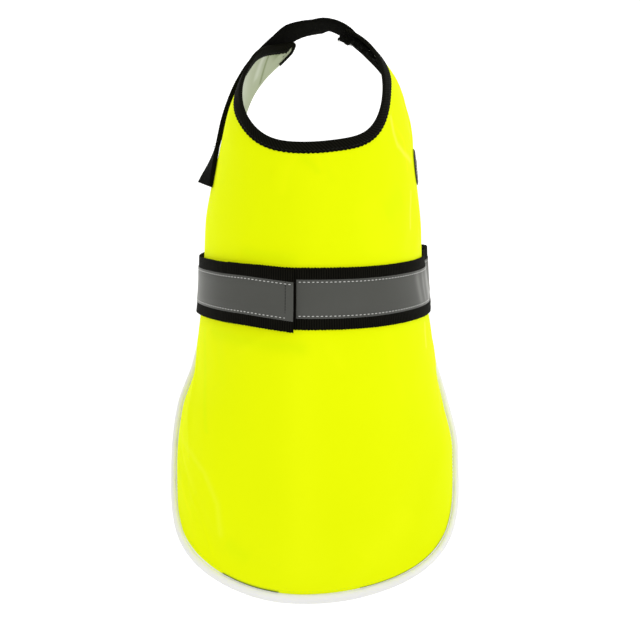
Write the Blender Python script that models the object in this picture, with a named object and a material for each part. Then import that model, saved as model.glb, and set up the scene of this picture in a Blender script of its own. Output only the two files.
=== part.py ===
import bpy
import bmesh
import math
import numpy as np

# A small light-up dog coat, worn and filled out, with nobody inside it.
# +X is the wearer's right side as seen from above, +Y the head, +Z up.
# The zero point is on the underside of the lining, at the spine, under the belt.

mm = 0.001

# cloth and trims, all in millimetres
panel_wall = 1.0
lining_wall = 1.0
seam_gap = 0.3
binding_width = 5.8
binding_wall = 0.9
binding_gap = 0.45
belt_width = 40.0
belt_wall = 1.4
tape_width = 25.0
tape_wall = 0.4
hook_wall = 1.0
strap_width = 19.0
strap_wall = 2.0
hook_tape_width = 10.0
hook_tape_wall = 1.5
patch_length = 26.0
patch_height = 13.0
patch_wall = 1.0
patch_station = 57.5
patch_angle = 83.0

panel_columns = 34
rear_rows = 9
lift_of_cloth = panel_wall + seam_gap + lining_wall

# one row per section of the body of the coat:
# station along the back, height of the spine, lean of the section in degrees,
# half width left and right, depth from back to belly, how egg-shaped each
# side is, and how square the section is
sections = np.array([
    (-222.0, -34.0,  0.0,  99.5, 100.5,  92.0, 0.05,  0.05, 0.00),
    (-200.0, -26.0,  0.0, 101.5, 102.5, 104.0, 0.05,  0.05, 0.00),
    (-160.0, -15.0,  0.0, 101.2, 103.0, 124.0, 0.04,  0.04, 0.00),
    (-120.0,  -7.5,  0.0,  99.8, 102.0, 140.0, 0.03,  0.03, 0.00),
    (-90.0,   -3.5,  0.0,  95.7,  95.6, 152.0, 0.02,  0.02, 0.00),
    (-60.0,   -1.2,  0.0,  86.2,  89.4, 162.0, 0.01,  0.01, 0.00),
    (-30.0,    0.0,  0.0,  83.2,  85.2, 168.0, 0.00,  0.00, 0.00),
    (0.0,      0.0,  0.0,  79.6,  80.0, 172.0, 0.00,  0.00, 0.00),
    (20.0,     0.0,  0.0,  78.6,  78.0, 171.0, 0.00,  0.00, 0.00),
    (35.0,     0.0,  7.0,  76.8,  76.3, 167.0, 0.02,  0.02, 0.00),
    (50.0,     0.0, 17.0,  71.0,  72.8, 160.0, 0.05,  0.00, 0.01),
    (66.0,     0.3, 28.0,  63.0,  68.8, 151.0, 0.10, -0.08, 0.02),
    (85.0,     0.8, 38.0,  54.2,  57.6, 139.0, 0.19, -0.15, 0.03),
    (92.0,     1.2, 40.0,  50.2,  52.0, 135.0, 0.19, -0.08, 0.02),
    (98.0,     1.5, 41.5,  46.8,  47.2, 131.0, 0.18,  0.00, 0.02),
])

# how far round the body the cloth reaches at each station, in degrees
sides = np.array([
    (-120.0,  84.0,  84.0),
    (-105.0,  85.0,  87.0),
    (-90.0,   86.5,  89.5),
    (-75.0,   89.0,  94.0),
    (-62.0,   92.0,  98.0),
    (-50.0,   97.0, 103.0),
    (-38.0,  105.0, 109.0),
    (-22.0,  111.5, 112.5),
    (0.0,    114.0, 114.0),
    (25.0,   115.0, 115.0),
    (45.0,   117.0, 117.0),
    (58.0,   120.5, 120.0),
    (66.0,   124.5, 123.0),
    (72.0,  129.0, 125.0),
    (77.0,  137.0, 129.5),
    (80.5,  145.0, 136.0),
    (84.5,  153.0, 145.0),
    (89.5,  160.0, 152.5),
    (94.5,  162.0, 154.5),
    (98.0,  159.0, 151.5),
])

# rounded rear hem: fraction of the way to the hem, fullness of the curve
hem_station = -214.0
hem_start = -120.0
hem_corner = 3.0
hem_curve = np.array([
    (0.00, 1.000),
    (0.30, 1.014),
    (0.60, 0.995),
    (0.80, 0.935),
    (1.00, 0.840),
])

# the neck edge runs back on the wing tips, on the left more than on the right
wing_drop_left = 9.5
wing_drop_right = 0.5

# it is also cut back at its two lower corners: angle, width in degrees, depth
neck_corners = (
    (-53.0, 12.0, -1.8),
    (-30.0, 20.0, 2.6),
    (47.0, 23.0, 5.4),
)

# largest folds: start station and angle, end station and angle,
# width of the fold and height of it, a trough being negative
folds = np.array([
    (-122.0, -84.0, -148.0, -63.0,  7.0, -1.3),
    (-148.0, -63.0, -192.0, -46.0,  8.0, -1.1),
    (-35.0,  -78.0, -105.0, -70.0,  7.0,  0.9),
    (-60.0,   88.0, -100.0,  80.0,  7.0, -0.9),
    (92.0,    62.0,  58.0,  66.0,   4.0, -0.8),
    (-30.0,  -12.0, -150.0,  -6.0, 14.0,  0.7),
])

# the belt by angle round the body: distance off the cloth's surface
belt_stand_off = np.array([
    (-60.0,  0.45),
    (0.0,    0.45),
    (40.0,   0.45),
    (62.0,   0.60),
    (80.0,   0.90),
    (92.0,   3.20),
    (104.0,  8.60),
    (116.0, 11.00),
    (132.0,  9.50),
    (155.0, -1.00),
    (180.0, -9.00),
    (210.0, -6.50),
    (236.0,  0.60),
    (252.0,  2.80),
    (268.0,  2.20),
    (285.0,  1.10),
    (300.0,  0.60),
    (313.0,  3.40),
    (330.0,  3.40),
    (360.0,  3.40),
])
belt_under_end = -44.0
belt_over_end = 351.9
tape_start = -7.3
hook_strip_end = -8.0

# the belt by angle round the body: how far it runs forward of its middle
belt_rise = np.array([
    (-60.0,  1.3),
    (-44.0,  1.4),
    (-26.0,  1.1),
    (-9.0,   0.0),
    (20.0,   0.0),
    (55.0,   0.7),
    (80.0,   1.2),
    (96.0,   2.4),
    (112.0,  3.6),
    (140.0,  3.6),
    (180.0,  2.8),
    (230.0,  1.6),
    (270.0,  0.6),
    (283.0,  0.9),
    (305.0,  1.5),
    (326.0,  1.4),
    (340.0,  0.2),
    (352.0, -1.5),
])

# neck strap by station and angle round the body: distance off the cloth's
# surface and twist of its width, from its sewn end to its free end
strap_rows = np.array([
    (86.2, 143.5, 2.8,   0.0),
    (87.2, 148.5, 2.8,   0.0),
    (89.2, 154.5, 2.9,  -4.0),
    (92.8, 162.0, 3.4, -12.0),
    (94.4, 170.0, 3.6, -23.0),
    (93.4, 180.0, 3.2, -27.0),
    (92.6, 190.5, 3.6, -21.0),
    (91.0, 201.0, 4.5, -10.0),
    (88.0, 213.0, 3.6,  -3.0),
    (85.0, 226.0, 3.0,   0.0),
    (83.0, 239.0, 2.6,   0.0),
    (80.5, 251.0, 1.9,   0.0),
    (75.0, 262.0, 1.5,   0.0),
    (67.0, 270.5, 1.5,   0.0),
    (59.0, 276.3, 2.2,  -7.0),
    (50.5, 280.0, 5.0, -24.0),
])

# hook tape inside the right wing tip, its free end curled inward
hook_tape_rows = np.array([
    (92.6, 118.0,  -5.0,  0.0),
    (92.7, 127.0,  -5.0,  0.0),
    (93.0, 136.0,  -5.0,  0.0),
    (93.6, 144.0,  -5.3, -3.0),
    (94.6, 150.0,  -6.8, -8.0),
    (96.2, 154.0,  -9.0,-14.0),
])

# the hem tube along the hem: fraction of the walk, half width, half
# thickness and how far it is turned outward
hem_rows = np.array([
    (0.00, 2.3, 2.1, 50.0),
    (0.22, 2.3, 2.1, 58.0),
    (0.32, 2.4, 2.1, 52.0),
    (0.42, 3.4, 2.2, 24.0),
    (0.50, 3.9, 2.2, 12.0),
    (0.58, 3.3, 2.2, 24.0),
    (0.68, 2.4, 2.1, 50.0),
    (0.78, 2.3, 2.1, 58.0),
    (1.00, 2.3, 2.1, 50.0),
])


def smooth_column(table, column, where):
    # a smooth curve through one column of a table, without overshoot
    x = table[:, 0]
    y = table[:, column]
    where = np.clip(np.asarray(where, float), x[0], x[-1])
    step = np.diff(x)
    rise = np.diff(y) / step
    slope = np.zeros_like(y)
    for i in range(1, len(x) - 1):
        if rise[i - 1] * rise[i] > 0.0:
            before = 2.0 * step[i] + step[i - 1]
            after = step[i] + 2.0 * step[i - 1]
            slope[i] = (before + after) / (before / rise[i - 1] + after / rise[i])
    slope[0] = rise[0]
    slope[-1] = rise[-1]
    i = np.clip(np.searchsorted(x, where) - 1, 0, len(step) - 1)
    t = (where - x[i]) / step[i]
    part_a = (1.0 + 2.0 * t) * (1.0 - t) ** 2 * y[i]
    part_b = t * (1.0 - t) ** 2 * step[i] * slope[i]
    part_c = t * t * (3.0 - 2.0 * t) * y[i + 1]
    part_d = t * t * (t - 1.0) * step[i] * slope[i + 1]
    return part_a + part_b + part_c + part_d


def unit(vector):
    length = np.linalg.norm(vector, axis=-1, keepdims=True)
    return vector / np.maximum(length, 1e-9)


def body(station, angle):
    # the smooth body of the coat, without folds
    turn = np.radians(angle)
    spine = smooth_column(sections, 1, station)
    lean = np.radians(smooth_column(sections, 2, station))
    left = np.asarray(angle) < 0.0
    half = np.where(left, smooth_column(sections, 3, station),
                    smooth_column(sections, 4, station))
    depth = smooth_column(sections, 5, station)
    egg = np.where(left, smooth_column(sections, 6, station),
                   smooth_column(sections, 7, station))
    square = smooth_column(sections, 8, station)
    swell = 1.0 + egg * np.cos(turn) + square * np.sin(2.0 * turn) ** 2
    across = half * np.sin(turn) * swell
    down = 0.5 * depth * (1.0 - np.cos(turn))
    along = station + down * np.sin(lean)
    height = spine - down * np.cos(lean) + lift_of_cloth
    return np.stack([across, along, height], axis=-1)


def body_normal(station, angle):
    step = 0.5
    along = body(station + step, angle) - body(station - step, angle)
    round_it = body(station, angle + step) - body(station, angle - step)
    return unit(np.cross(round_it, along))


def fold_height(station, angle):
    half = smooth_column(sections, 3, station)
    side = np.radians(angle) * half
    total = np.zeros_like(side)
    for s0, a0, s1, a1, width, height in folds:
        start = np.array([s0, math.radians(a0) * 88.0])
        end = np.array([s1, math.radians(a1) * 88.0])
        run = end - start
        t = ((station - start[0]) * run[0] + (side - start[1]) * run[1]) / run.dot(run)
        fade = np.clip(1.0 - np.abs(2.0 * t - 1.0) ** 3, 0.0, 1.0)
        near = np.clip(t, 0.0, 1.0)
        away_s = station - start[0] - near * run[0]
        away_a = side - start[1] - near * run[1]
        away = (away_s ** 2 + away_a ** 2) / width ** 2
        total = total + height * fade * np.exp(-away)
    return total


def cloth(station, angle, lift):
    station = np.asarray(station, float)
    angle = np.asarray(angle, float)
    out = body_normal(station, angle)
    height = np.asarray(fold_height(station, angle) + lift)
    return body(station, angle) + out * height[..., None]


def rear_grid(rows, columns):
    # the rounded rear of the coat as a half disc bent round the body
    u = np.linspace(-1.0, 1.0, columns + 1)[None, :]
    w = np.linspace(1.0, 0.0, rows + 1)[:, None]
    x = u * np.sqrt(1.0 - 0.5 * w * w)
    y = w * np.sqrt(1.0 - 0.5 * u * u)
    station = hem_start + y * (hem_station - hem_start)
    station = station - hem_corner * y ** 3 * np.exp(-((x + 0.28) / 0.34) ** 2)
    full = smooth_column(hem_curve, 1, y)
    reach = np.where(x < 0.0, sides[0, 1], sides[0, 2])
    return station, x * reach * full


def front_stations():
    # wide rows over the back, close ones where the wings are rounded
    back = np.linspace(hem_start, 70.0, 19)[1:]
    wings = np.linspace(70.0, sections[-1, 0], 12)[1:]
    return np.concatenate([back, wings])


def front_grid(columns):
    # from the start of the rounding to the neck edge and the wing tips
    v = np.linspace(-1.0, 1.0, columns + 1)[None, :]
    row_station = front_stations()[:, None]
    left = smooth_column(sides, 1, row_station)
    right = smooth_column(sides, 2, row_station)
    angle = np.where(v < 0.0, v * left, v * right)
    close = np.clip((row_station - 60.0) / 38.0, 0.0, 1.0) ** 2
    tip = np.clip((np.abs(angle) - 108.0) / 50.0, 0.0, 1.0)
    drop = np.where(angle < 0.0, wing_drop_left, wing_drop_right) * tip * tip * (3.0 - 2.0 * tip)
    for middle, width, depth in neck_corners:
        drop = drop + depth * np.exp(-((angle - middle) / width) ** 2)
    return row_station - drop * close, angle


def panel_grid():
    rear_s, rear_a = rear_grid(rear_rows, panel_columns)
    front_s, front_a = front_grid(panel_columns)
    return np.vstack([rear_s, front_s]), np.vstack([rear_a, front_a])


def make_object(name, points, faces, material, collection):
    # one closed body from points in millimetres, faces turned outward
    mesh = bpy.data.meshes.new(name)
    mesh.from_pydata([tuple(p * mm) for p in points], [], faces)
    work = bmesh.new()
    work.from_mesh(mesh)
    bmesh.ops.recalc_face_normals(work, faces=work.faces)
    if work.calc_volume(signed=True) < 0.0:
        bmesh.ops.reverse_faces(work, faces=work.faces)
    bmesh.ops.triangulate(work, faces=work.faces)
    work.to_mesh(mesh)
    work.free()
    mesh.materials.append(material)
    made = bpy.data.objects.new(name, mesh)
    collection.objects.link(made)
    return made


def make_material(name, colour, roughness, glow=0.0, see_through=0.0):
    material = bpy.data.materials.new(name)
    material.use_nodes = True
    shader = material.node_tree.nodes["Principled BSDF"]
    shader.inputs["Base Color"].default_value = (*colour, 1.0)
    shader.inputs["Roughness"].default_value = roughness
    shader.inputs["Transmission Weight"].default_value = see_through
    if glow > 0.0:
        shader.inputs["Emission Color"].default_value = (*colour, 1.0)
        shader.inputs["Emission Strength"].default_value = glow
    material.diffuse_color = (*colour, 1.0)
    return material


def two_sided(top, bottom):
    # two point grids of one size joined round their edge
    rows, columns = top.shape[:2]
    points = np.vstack([top.reshape(-1, 3), bottom.reshape(-1, 3)])
    count = rows * columns
    faces = []
    for r in range(rows - 1):
        for c in range(columns - 1):
            a = r * columns + c
            b = a + 1
            d = a + columns
            e = d + 1
            faces.append((a, b, e, d))
            faces.append((a + count, d + count, e + count, b + count))
    border = grid_border(rows, columns)
    for i, a in enumerate(border):
        b = border[(i + 1) % len(border)]
        faces.append((a, a + count, b + count, b))
    return points, faces


def grid_border(rows, columns):
    bottom = [c for c in range(columns)]
    right = [r * columns + columns - 1 for r in range(1, rows)]
    top = [(rows - 1) * columns + c for c in range(columns - 2, -1, -1)]
    left = [r * columns for r in range(rows - 2, 0, -1)]
    return bottom + right + top + left


def sweep(rings):
    # rings of points joined one after another, with both ends closed
    count, size = rings.shape[:2]
    points = rings.reshape(-1, 3)
    faces = []
    for i in range(count - 1):
        for k in range(size):
            a = i * size + k
            b = i * size + (k + 1) % size
            faces.append((a, b, b + size, a + size))
    faces.append(tuple(range(size - 1, -1, -1)))
    faces.append(tuple(range((count - 1) * size, count * size)))
    return points, faces


def edge_directions(stations, angles):
    # along the edge and away from the cloth, as steps in station and angle
    step = 0.5
    by_station = (body(stations + step, angles) - body(stations - step, angles)) / (2.0 * step)
    by_angle = (body(stations, angles + step) - body(stations, angles - step)) / (2.0 * step)
    out = body_normal(stations, angles)
    places = body(stations, angles)
    run = np.gradient(places, axis=0)
    away = unit(np.cross(unit(run), out))
    away = away - out * np.sum(away * out, axis=-1, keepdims=True)
    ss = np.sum(by_station * by_station, axis=-1)
    sa = np.sum(by_station * by_angle, axis=-1)
    aa = np.sum(by_angle * by_angle, axis=-1)
    ws = np.sum(by_station * away, axis=-1)
    wa = np.sum(by_angle * away, axis=-1)
    whole = ss * aa - sa * sa
    return (ws * aa - wa * sa) / whole, (wa * ss - ws * sa) / whole


def edge_point(stations, angles, step_s, step_a, inward, lift):
    return cloth(stations - inward * step_s, angles - inward * step_a, lift)


def binding_rings(stations, angles):
    # the folded tape that covers the edge of both layers
    step_s, step_a = edge_directions(stations, angles)
    over = binding_gap
    under = -lift_of_cloth - binding_gap
    profile = (
        (binding_width, over),
        (0.5 * binding_width, over),
        (-binding_gap, over),
        (-binding_gap, under),
        (0.5 * binding_width, under),
        (binding_width, under),
        (binding_width, under - binding_wall),
        (0.5 * binding_width, under - binding_wall),
        (0.3, under - binding_wall),
        (-binding_gap - binding_wall, under - 0.1),
        (-binding_gap - binding_wall, over + 0.1),
        (0.3, over + binding_wall),
        (0.5 * binding_width, over + binding_wall),
        (binding_width, over + binding_wall),
    )
    ring = []
    for inward, lift in profile:
        if inward >= 0.0:
            ring.append(edge_point(stations, angles, step_s, step_a, inward, lift))
        else:
            edge = cloth(stations, angles, lift)
            inner = edge_point(stations, angles, step_s, step_a, 0.5, lift)
            ring.append(edge - unit(inner - edge) * -inward)
    return np.stack(ring, axis=1)


def tube_rings(stations, angles, sides_round):
    # an oval edge tube whose skin stays clear of the cloth's edge
    step_s, step_a = edge_directions(stations, angles)
    middle = -0.5 * lift_of_cloth
    edge = cloth(stations, angles, middle)
    inner = edge_point(stations, angles, step_s, step_a, 0.5, middle)
    away = -unit(inner - edge)
    up = body_normal(stations, angles)
    walk = np.concatenate([[0.0], np.cumsum(np.linalg.norm(np.diff(edge, axis=0), axis=1))])
    walk = walk / walk[-1]
    wide = smooth_column(hem_rows, 1, walk)[:, None]
    thick = smooth_column(hem_rows, 2, walk)[:, None]
    turned = np.radians(smooth_column(hem_rows, 3, walk))[:, None]
    out = away * np.cos(turned) + up * np.sin(turned)
    across = up * np.cos(turned) - away * np.sin(turned)
    centre = edge + out * (wide + 0.45 + 0.9 * np.sin(turned))
    ring = []
    for k in range(sides_round):
        turn = 2.0 * math.pi * k / sides_round
        ring.append(centre + out * wide * math.cos(turn) + across * thick * math.sin(turn))
    return np.stack(ring, axis=1)


def belt_surface(station, angle, lift):
    # the belt follows the body, standing off it by its own table
    angle = np.asarray(angle, float)
    stand = smooth_column(belt_stand_off, 1, angle)
    before = angle < -44.0
    stand = np.where(before, 0.45, stand)
    station = station + smooth_column(belt_rise, 1, angle)
    wrapped = np.where(angle > 180.0, angle - 360.0, angle)
    flat = body(np.zeros_like(angle), wrapped)
    out = body_normal(np.zeros_like(angle), wrapped)
    local = body(station + 0.0 * angle, wrapped)
    hold = np.clip((112.0 - np.abs(wrapped)) / 34.0, 0.0, 1.0)
    blend = hold[..., None]
    straight = flat.copy()
    straight[..., 1] = station
    place = blend * local + (1.0 - blend) * straight
    normal = unit(blend * body_normal(station + 0.0 * angle, wrapped) + (1.0 - blend) * out)
    return place + normal * (stand + lift)[..., None]


def belt_strip(angles, width, low, high, offset=0.0):
    across = np.linspace(-0.5 * width, 0.5 * width, 4)
    top = np.stack([belt_surface(offset + s, angles, high + 0.0 * angles) for s in across], axis=1)
    bottom = np.stack([belt_surface(offset + s, angles, low + 0.0 * angles) for s in across], axis=1)
    return two_sided(top, bottom)


def through(rows, count):
    # a smooth path through rows, the first three columns being places
    rows = np.asarray(rows, float)
    gaps = np.linalg.norm(np.diff(rows[:, :3], axis=0), axis=1)
    knots = np.concatenate([[0.0], np.cumsum(gaps)])
    where = np.linspace(0.0, knots[-1], count)
    slope = np.gradient(rows, knots, axis=0)
    i = np.clip(np.searchsorted(knots, where) - 1, 0, len(gaps) - 1)
    step = gaps[i][:, None]
    t = ((where - knots[i]) / gaps[i])[:, None]
    part_a = (1.0 + 2.0 * t) * (1.0 - t) ** 2 * rows[i] + t * (1.0 - t) ** 2 * step * slope[i]
    part_b = t * t * (3.0 - 2.0 * t) * rows[i + 1] + t * t * (t - 1.0) * step * slope[i + 1]
    return part_a + part_b


def strap_frame(table, count):
    # middle, run, width and outward directions along a strap
    angle = np.where(table[:, 1] > 180.0, table[:, 1] - 360.0, table[:, 1])
    out = body_normal(table[:, 0], angle)
    place = body(table[:, 0], angle) + out * table[:, 2:3]
    path = through(np.hstack([place, out, table[:, 3:4]]), count)
    centre = path[:, :3]
    run = unit(np.gradient(centre, axis=0))
    out = path[:, 3:6]
    out = unit(out - run * np.sum(out * run, axis=1, keepdims=True))
    width = np.cross(out, run)
    twist = np.radians(path[:, 6:7])
    turned = width * np.cos(twist) + out * np.sin(twist)
    return centre, run, turned, np.cross(run, turned)


def rounded_bar(half_width, half_wall):
    soft = 0.45 * half_wall
    return (
        (-half_width, -half_wall + soft),
        (-half_width + soft, -half_wall),
        (half_width - soft, -half_wall),
        (half_width, -half_wall + soft),
        (half_width, half_wall - soft),
        (half_width - soft, half_wall),
        (-half_width + soft, half_wall),
        (-half_width, half_wall - soft),
    )


def strap_rings(table, count, full_width, wall):
    centre, run, width, out = strap_frame(table, count)
    ring = []
    for w, n in rounded_bar(0.5 * full_width, 0.5 * wall):
        ring.append(centre + width * w + out * n)
    return np.stack(ring, axis=1)


def lens(station, angle, length, height, lift, wall, rings):
    # a small rounded plate that lies on the cloth
    half_round = height / float(smooth_column(sections, 4, station))
    ahead = body(np.array([station + 1.0]), np.array([angle]))
    behind = body(np.array([station - 1.0]), np.array([angle]))
    stretch = 0.5 * float(np.linalg.norm(ahead - behind))
    points_top = []
    points_low = []
    count = 20
    for r in range(1, rings + 1):
        size = r / rings
        turn = np.linspace(0.0, 2.0 * math.pi, count, endpoint=False)
        s = station + 0.5 * length / stretch * size * np.cos(turn)
        taper = 1.0 - 0.35 * np.cos(turn)
        a = angle + math.degrees(0.5 * half_round) * size * np.sin(turn) * taper
        points_top.append(cloth(s, a, lift + wall * (1.0 - 0.3 * size ** 4)))
        points_low.append(cloth(s, a, lift + 0.0 * s))
    middle_s = np.array([station])
    middle_a = np.array([angle])
    top = [cloth(middle_s, middle_a, np.array([lift + wall]))] + points_top
    low = [cloth(middle_s, middle_a, np.array([lift]))] + points_low
    points = np.vstack(top + low)
    half = 1 + rings * count
    faces = []
    for side in (0, half):
        for k in range(count):
            n = (k + 1) % count
            faces.append((side, side + 1 + k, side + 1 + n))
            for r in range(rings - 1):
                a = side + 1 + r * count
                faces.append((a + k, a + count + k, a + count + n, a + n))
    last = 1 + (rings - 1) * count
    for k in range(count):
        n = (k + 1) % count
        faces.append((last + k, half + last + k, half + last + n, last + n))
    return points, faces


def build():
    for thing in list(bpy.data.objects):
        bpy.data.objects.remove(thing, do_unlink=True)
    collection = bpy.data.collections.new("light_up_dog_coat")
    bpy.context.scene.collection.children.link(collection)

    yellow = make_material("yellow_cloth", (0.80, 0.95, 0.01), 0.75)
    pale = make_material("pale_lining", (0.72, 0.72, 0.60), 0.85)
    black = make_material("black_binding", (0.006, 0.006, 0.007), 0.8)
    milky = make_material("milky_tube", (0.85, 0.88, 0.72), 0.35, glow=0.1, see_through=0.2)
    webbing = make_material("black_webbing", (0.005, 0.005, 0.005), 0.7)
    silver = make_material("grey_reflective", (0.10, 0.10, 0.09), 0.4)
    fuzzy = make_material("black_hook_and_loop", (0.008, 0.008, 0.009), 0.95)
    hard = make_material("black_rubber", (0.01, 0.01, 0.01), 0.5)

    station, angle = panel_grid()
    rows, columns = station.shape
    top = cloth(station, angle, 0.0)
    bottom = cloth(station, angle, -panel_wall)
    points, faces = two_sided(top, bottom)
    make_object("coat_panel", points, faces, yellow, collection)

    top = cloth(station, angle, -panel_wall - seam_gap)
    bottom = cloth(station, angle, -lift_of_cloth)
    points, faces = two_sided(top, bottom)
    make_object("lining", points, faces, pale, collection)

    # the edge of the cloth as one walk: left side, rear hem, right side
    left_side = [(r, 0) for r in range(rows - 1, 0, -1)]
    rear_hem = [(0, c) for c in range(columns)]
    right_side = [(r, columns - 1) for r in range(1, rows)]
    neck_edge = [(rows - 1, c) for c in range(columns - 2, 0, -1)]

    hem_walk = [rc for rc in left_side if station[rc] < -24.0]
    hem_walk += rear_hem
    hem_walk += [rc for rc in right_side if station[rc] < -24.0]
    s = np.array([station[rc] for rc in hem_walk])
    a = np.array([angle[rc] for rc in hem_walk])
    points, faces = sweep(tube_rings(s, a, 8))
    make_object("hem_light_trim", points, faces, milky, collection)

    right_tip = [rc for rc in right_side if station[rc] > 79.5]
    left_tip = [rc for rc in left_side if station[rc] > 79.5]
    neck_walk = right_tip + neck_edge + left_tip
    s = np.array([station[rc] for rc in neck_walk])
    a = np.array([angle[rc] for rc in neck_walk])
    points, faces = sweep(binding_rings(s, a))
    make_object("neck_binding", points, faces, black, collection)

    angles = np.linspace(belt_under_end, belt_over_end, 80)
    points, faces = belt_strip(angles, belt_width, 0.0, belt_wall)
    make_object("belt_webbing", points, faces, webbing, collection)

    angles = np.linspace(tape_start, belt_over_end, 74)
    low = belt_wall + 0.3
    points, faces = belt_strip(angles, tape_width, low, low + tape_wall)
    make_object("belt_reflective_tape", points, faces, silver, collection)

    angles = np.linspace(belt_under_end + 2.0, hook_strip_end, 8)
    low = belt_wall + 0.3
    points, faces = belt_strip(angles, belt_width - 4.0, low, low + hook_wall)
    make_object("belt_hook_strip", points, faces, fuzzy, collection)

    points, faces = sweep(strap_rings(strap_rows, 60, strap_width, strap_wall))
    make_object("neck_strap", points, faces, fuzzy, collection)

    points, faces = sweep(strap_rings(hook_tape_rows, 16, hook_tape_width, hook_tape_wall))
    make_object("wing_hook_tape", points, faces, fuzzy, collection)

    points, faces = lens(patch_station, patch_angle, patch_length, patch_height, 0.35, patch_wall, 2)
    make_object("side_patch", points, faces, hard, collection)


build()
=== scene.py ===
import bpy
import bmesh
import math
import random
import numpy as np
from mathutils import Matrix, Vector


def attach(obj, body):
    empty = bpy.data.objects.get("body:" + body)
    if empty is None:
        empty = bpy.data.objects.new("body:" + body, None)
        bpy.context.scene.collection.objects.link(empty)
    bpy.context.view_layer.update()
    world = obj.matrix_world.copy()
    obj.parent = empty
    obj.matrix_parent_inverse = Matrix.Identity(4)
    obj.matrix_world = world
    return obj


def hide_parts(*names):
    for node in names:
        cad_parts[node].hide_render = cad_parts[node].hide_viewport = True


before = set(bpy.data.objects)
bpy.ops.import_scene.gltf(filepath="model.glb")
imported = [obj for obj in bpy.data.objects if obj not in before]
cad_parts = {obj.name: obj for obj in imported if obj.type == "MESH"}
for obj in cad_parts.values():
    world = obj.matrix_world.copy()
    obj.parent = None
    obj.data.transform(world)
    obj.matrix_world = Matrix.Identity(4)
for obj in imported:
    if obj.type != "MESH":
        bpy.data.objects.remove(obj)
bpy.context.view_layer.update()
mm = 0.001


# the body of the coat, in millimetres, as the solids have it

coat = {
    "solidThick": 2.3,
    "wall": 0.5,
    "gap": 0.1,
    "liningWall": 0.5,
    "hemStart": -120.0,
    "hemStation": -214.0,
    "hemCorner": 3.0,
    "hemCornerAt": -0.28,
    "hemCornerWidth": 0.34,
    "wingDropLeft": 9.5,
    "wingDropRight": 0.5,
    "wingFrom": 108.0,
    "wingOver": 50.0,
    "neckFrom": 60.0,
    "neckOver": 38.0,
    "neckCrowd": 0.30,
    "columns": 150,
    "rearRows": 46,
    "frontRows": 142,
}
coat["thick"] = coat["wall"] + coat["gap"] + coat["liningWall"]

# station, spine height, lean, half width left and right, depth, egg left and right, squareness
bodyRows = np.array([
    (-222.0, -34.0, 0.0, 99.5, 100.5, 92.0, 0.05, 0.05, 0.00),
    (-200.0, -26.0, 0.0, 101.5, 102.5, 104.0, 0.05, 0.05, 0.00),
    (-160.0, -15.0, 0.0, 101.2, 103.0, 124.0, 0.04, 0.04, 0.00),
    (-120.0, -7.5, 0.0, 99.8, 102.0, 140.0, 0.03, 0.03, 0.00),
    (-90.0, -3.5, 0.0, 95.7, 95.6, 152.0, 0.02, 0.02, 0.00),
    (-60.0, -1.2, 0.0, 86.2, 89.4, 162.0, 0.01, 0.01, 0.00),
    (-30.0, 0.0, 0.0, 83.2, 85.2, 168.0, 0.00, 0.00, 0.00),
    (0.0, 0.0, 0.0, 79.6, 80.0, 172.0, 0.00, 0.00, 0.00),
    (20.0, 0.0, 0.0, 78.6, 78.0, 171.0, 0.00, 0.00, 0.00),
    (35.0, 0.0, 7.0, 76.8, 76.3, 167.0, 0.02, 0.02, 0.00),
    (50.0, 0.0, 17.0, 71.0, 72.8, 160.0, 0.05, 0.00, 0.01),
    (66.0, 0.3, 28.0, 63.0, 68.8, 151.0, 0.10, -0.08, 0.02),
    (85.0, 0.8, 38.0, 54.2, 57.6, 139.0, 0.19, -0.15, 0.03),
    (92.0, 1.2, 40.0, 50.2, 52.0, 135.0, 0.19, -0.08, 0.02),
    (98.0, 1.5, 41.5, 46.8, 47.2, 131.0, 0.18, 0.00, 0.02),
])

# station, reach round the body on the left and on the right, in degrees
reachRows = np.array([
    (-120.0, 84.0, 84.0), (-105.0, 85.0, 87.0), (-90.0, 86.5, 89.5), (-75.0, 89.0, 94.0),
    (-62.0, 92.0, 98.0), (-50.0, 97.0, 103.0), (-38.0, 105.0, 109.0), (-22.0, 111.5, 112.5),
    (0.0, 114.0, 114.0), (25.0, 115.0, 115.0), (45.0, 117.0, 117.0), (58.0, 120.5, 120.0),
    (66.0, 124.5, 123.0), (72.0, 129.0, 125.0), (77.0, 137.0, 129.5), (80.5, 145.0, 136.0),
    (84.5, 153.0, 145.0), (89.5, 160.0, 152.5), (94.5, 162.0, 154.5), (98.0, 159.0, 151.5),
])
hemRows = np.array([(0.00, 1.000), (0.30, 1.014), (0.60, 0.995), (0.80, 0.935), (1.00, 0.840)])

# where the neck edge is cut back: angle, width in degrees, depth
neckCorners = [(-28.0, 21.0, 2.5), (47.0, 24.0, 5.4)]

# folds: start station and angle, end station and angle, width, height
mainFolds = [
    (-122.0, -84.0, -148.0, -63.0, 7.0, -1.3),
    (-148.0, -63.0, -192.0, -46.0, 8.0, -1.1),
    (-35.0, -78.0, -105.0, -70.0, 7.0, 0.9),
    (-60.0, 88.0, -100.0, 80.0, 7.0, -0.9),
    (92.0, 62.0, 58.0, 66.0, 4.0, -0.8),
    (-30.0, -12.0, -150.0, -6.0, 14.0, 0.7),
]
foldRadius = 88.0


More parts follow.
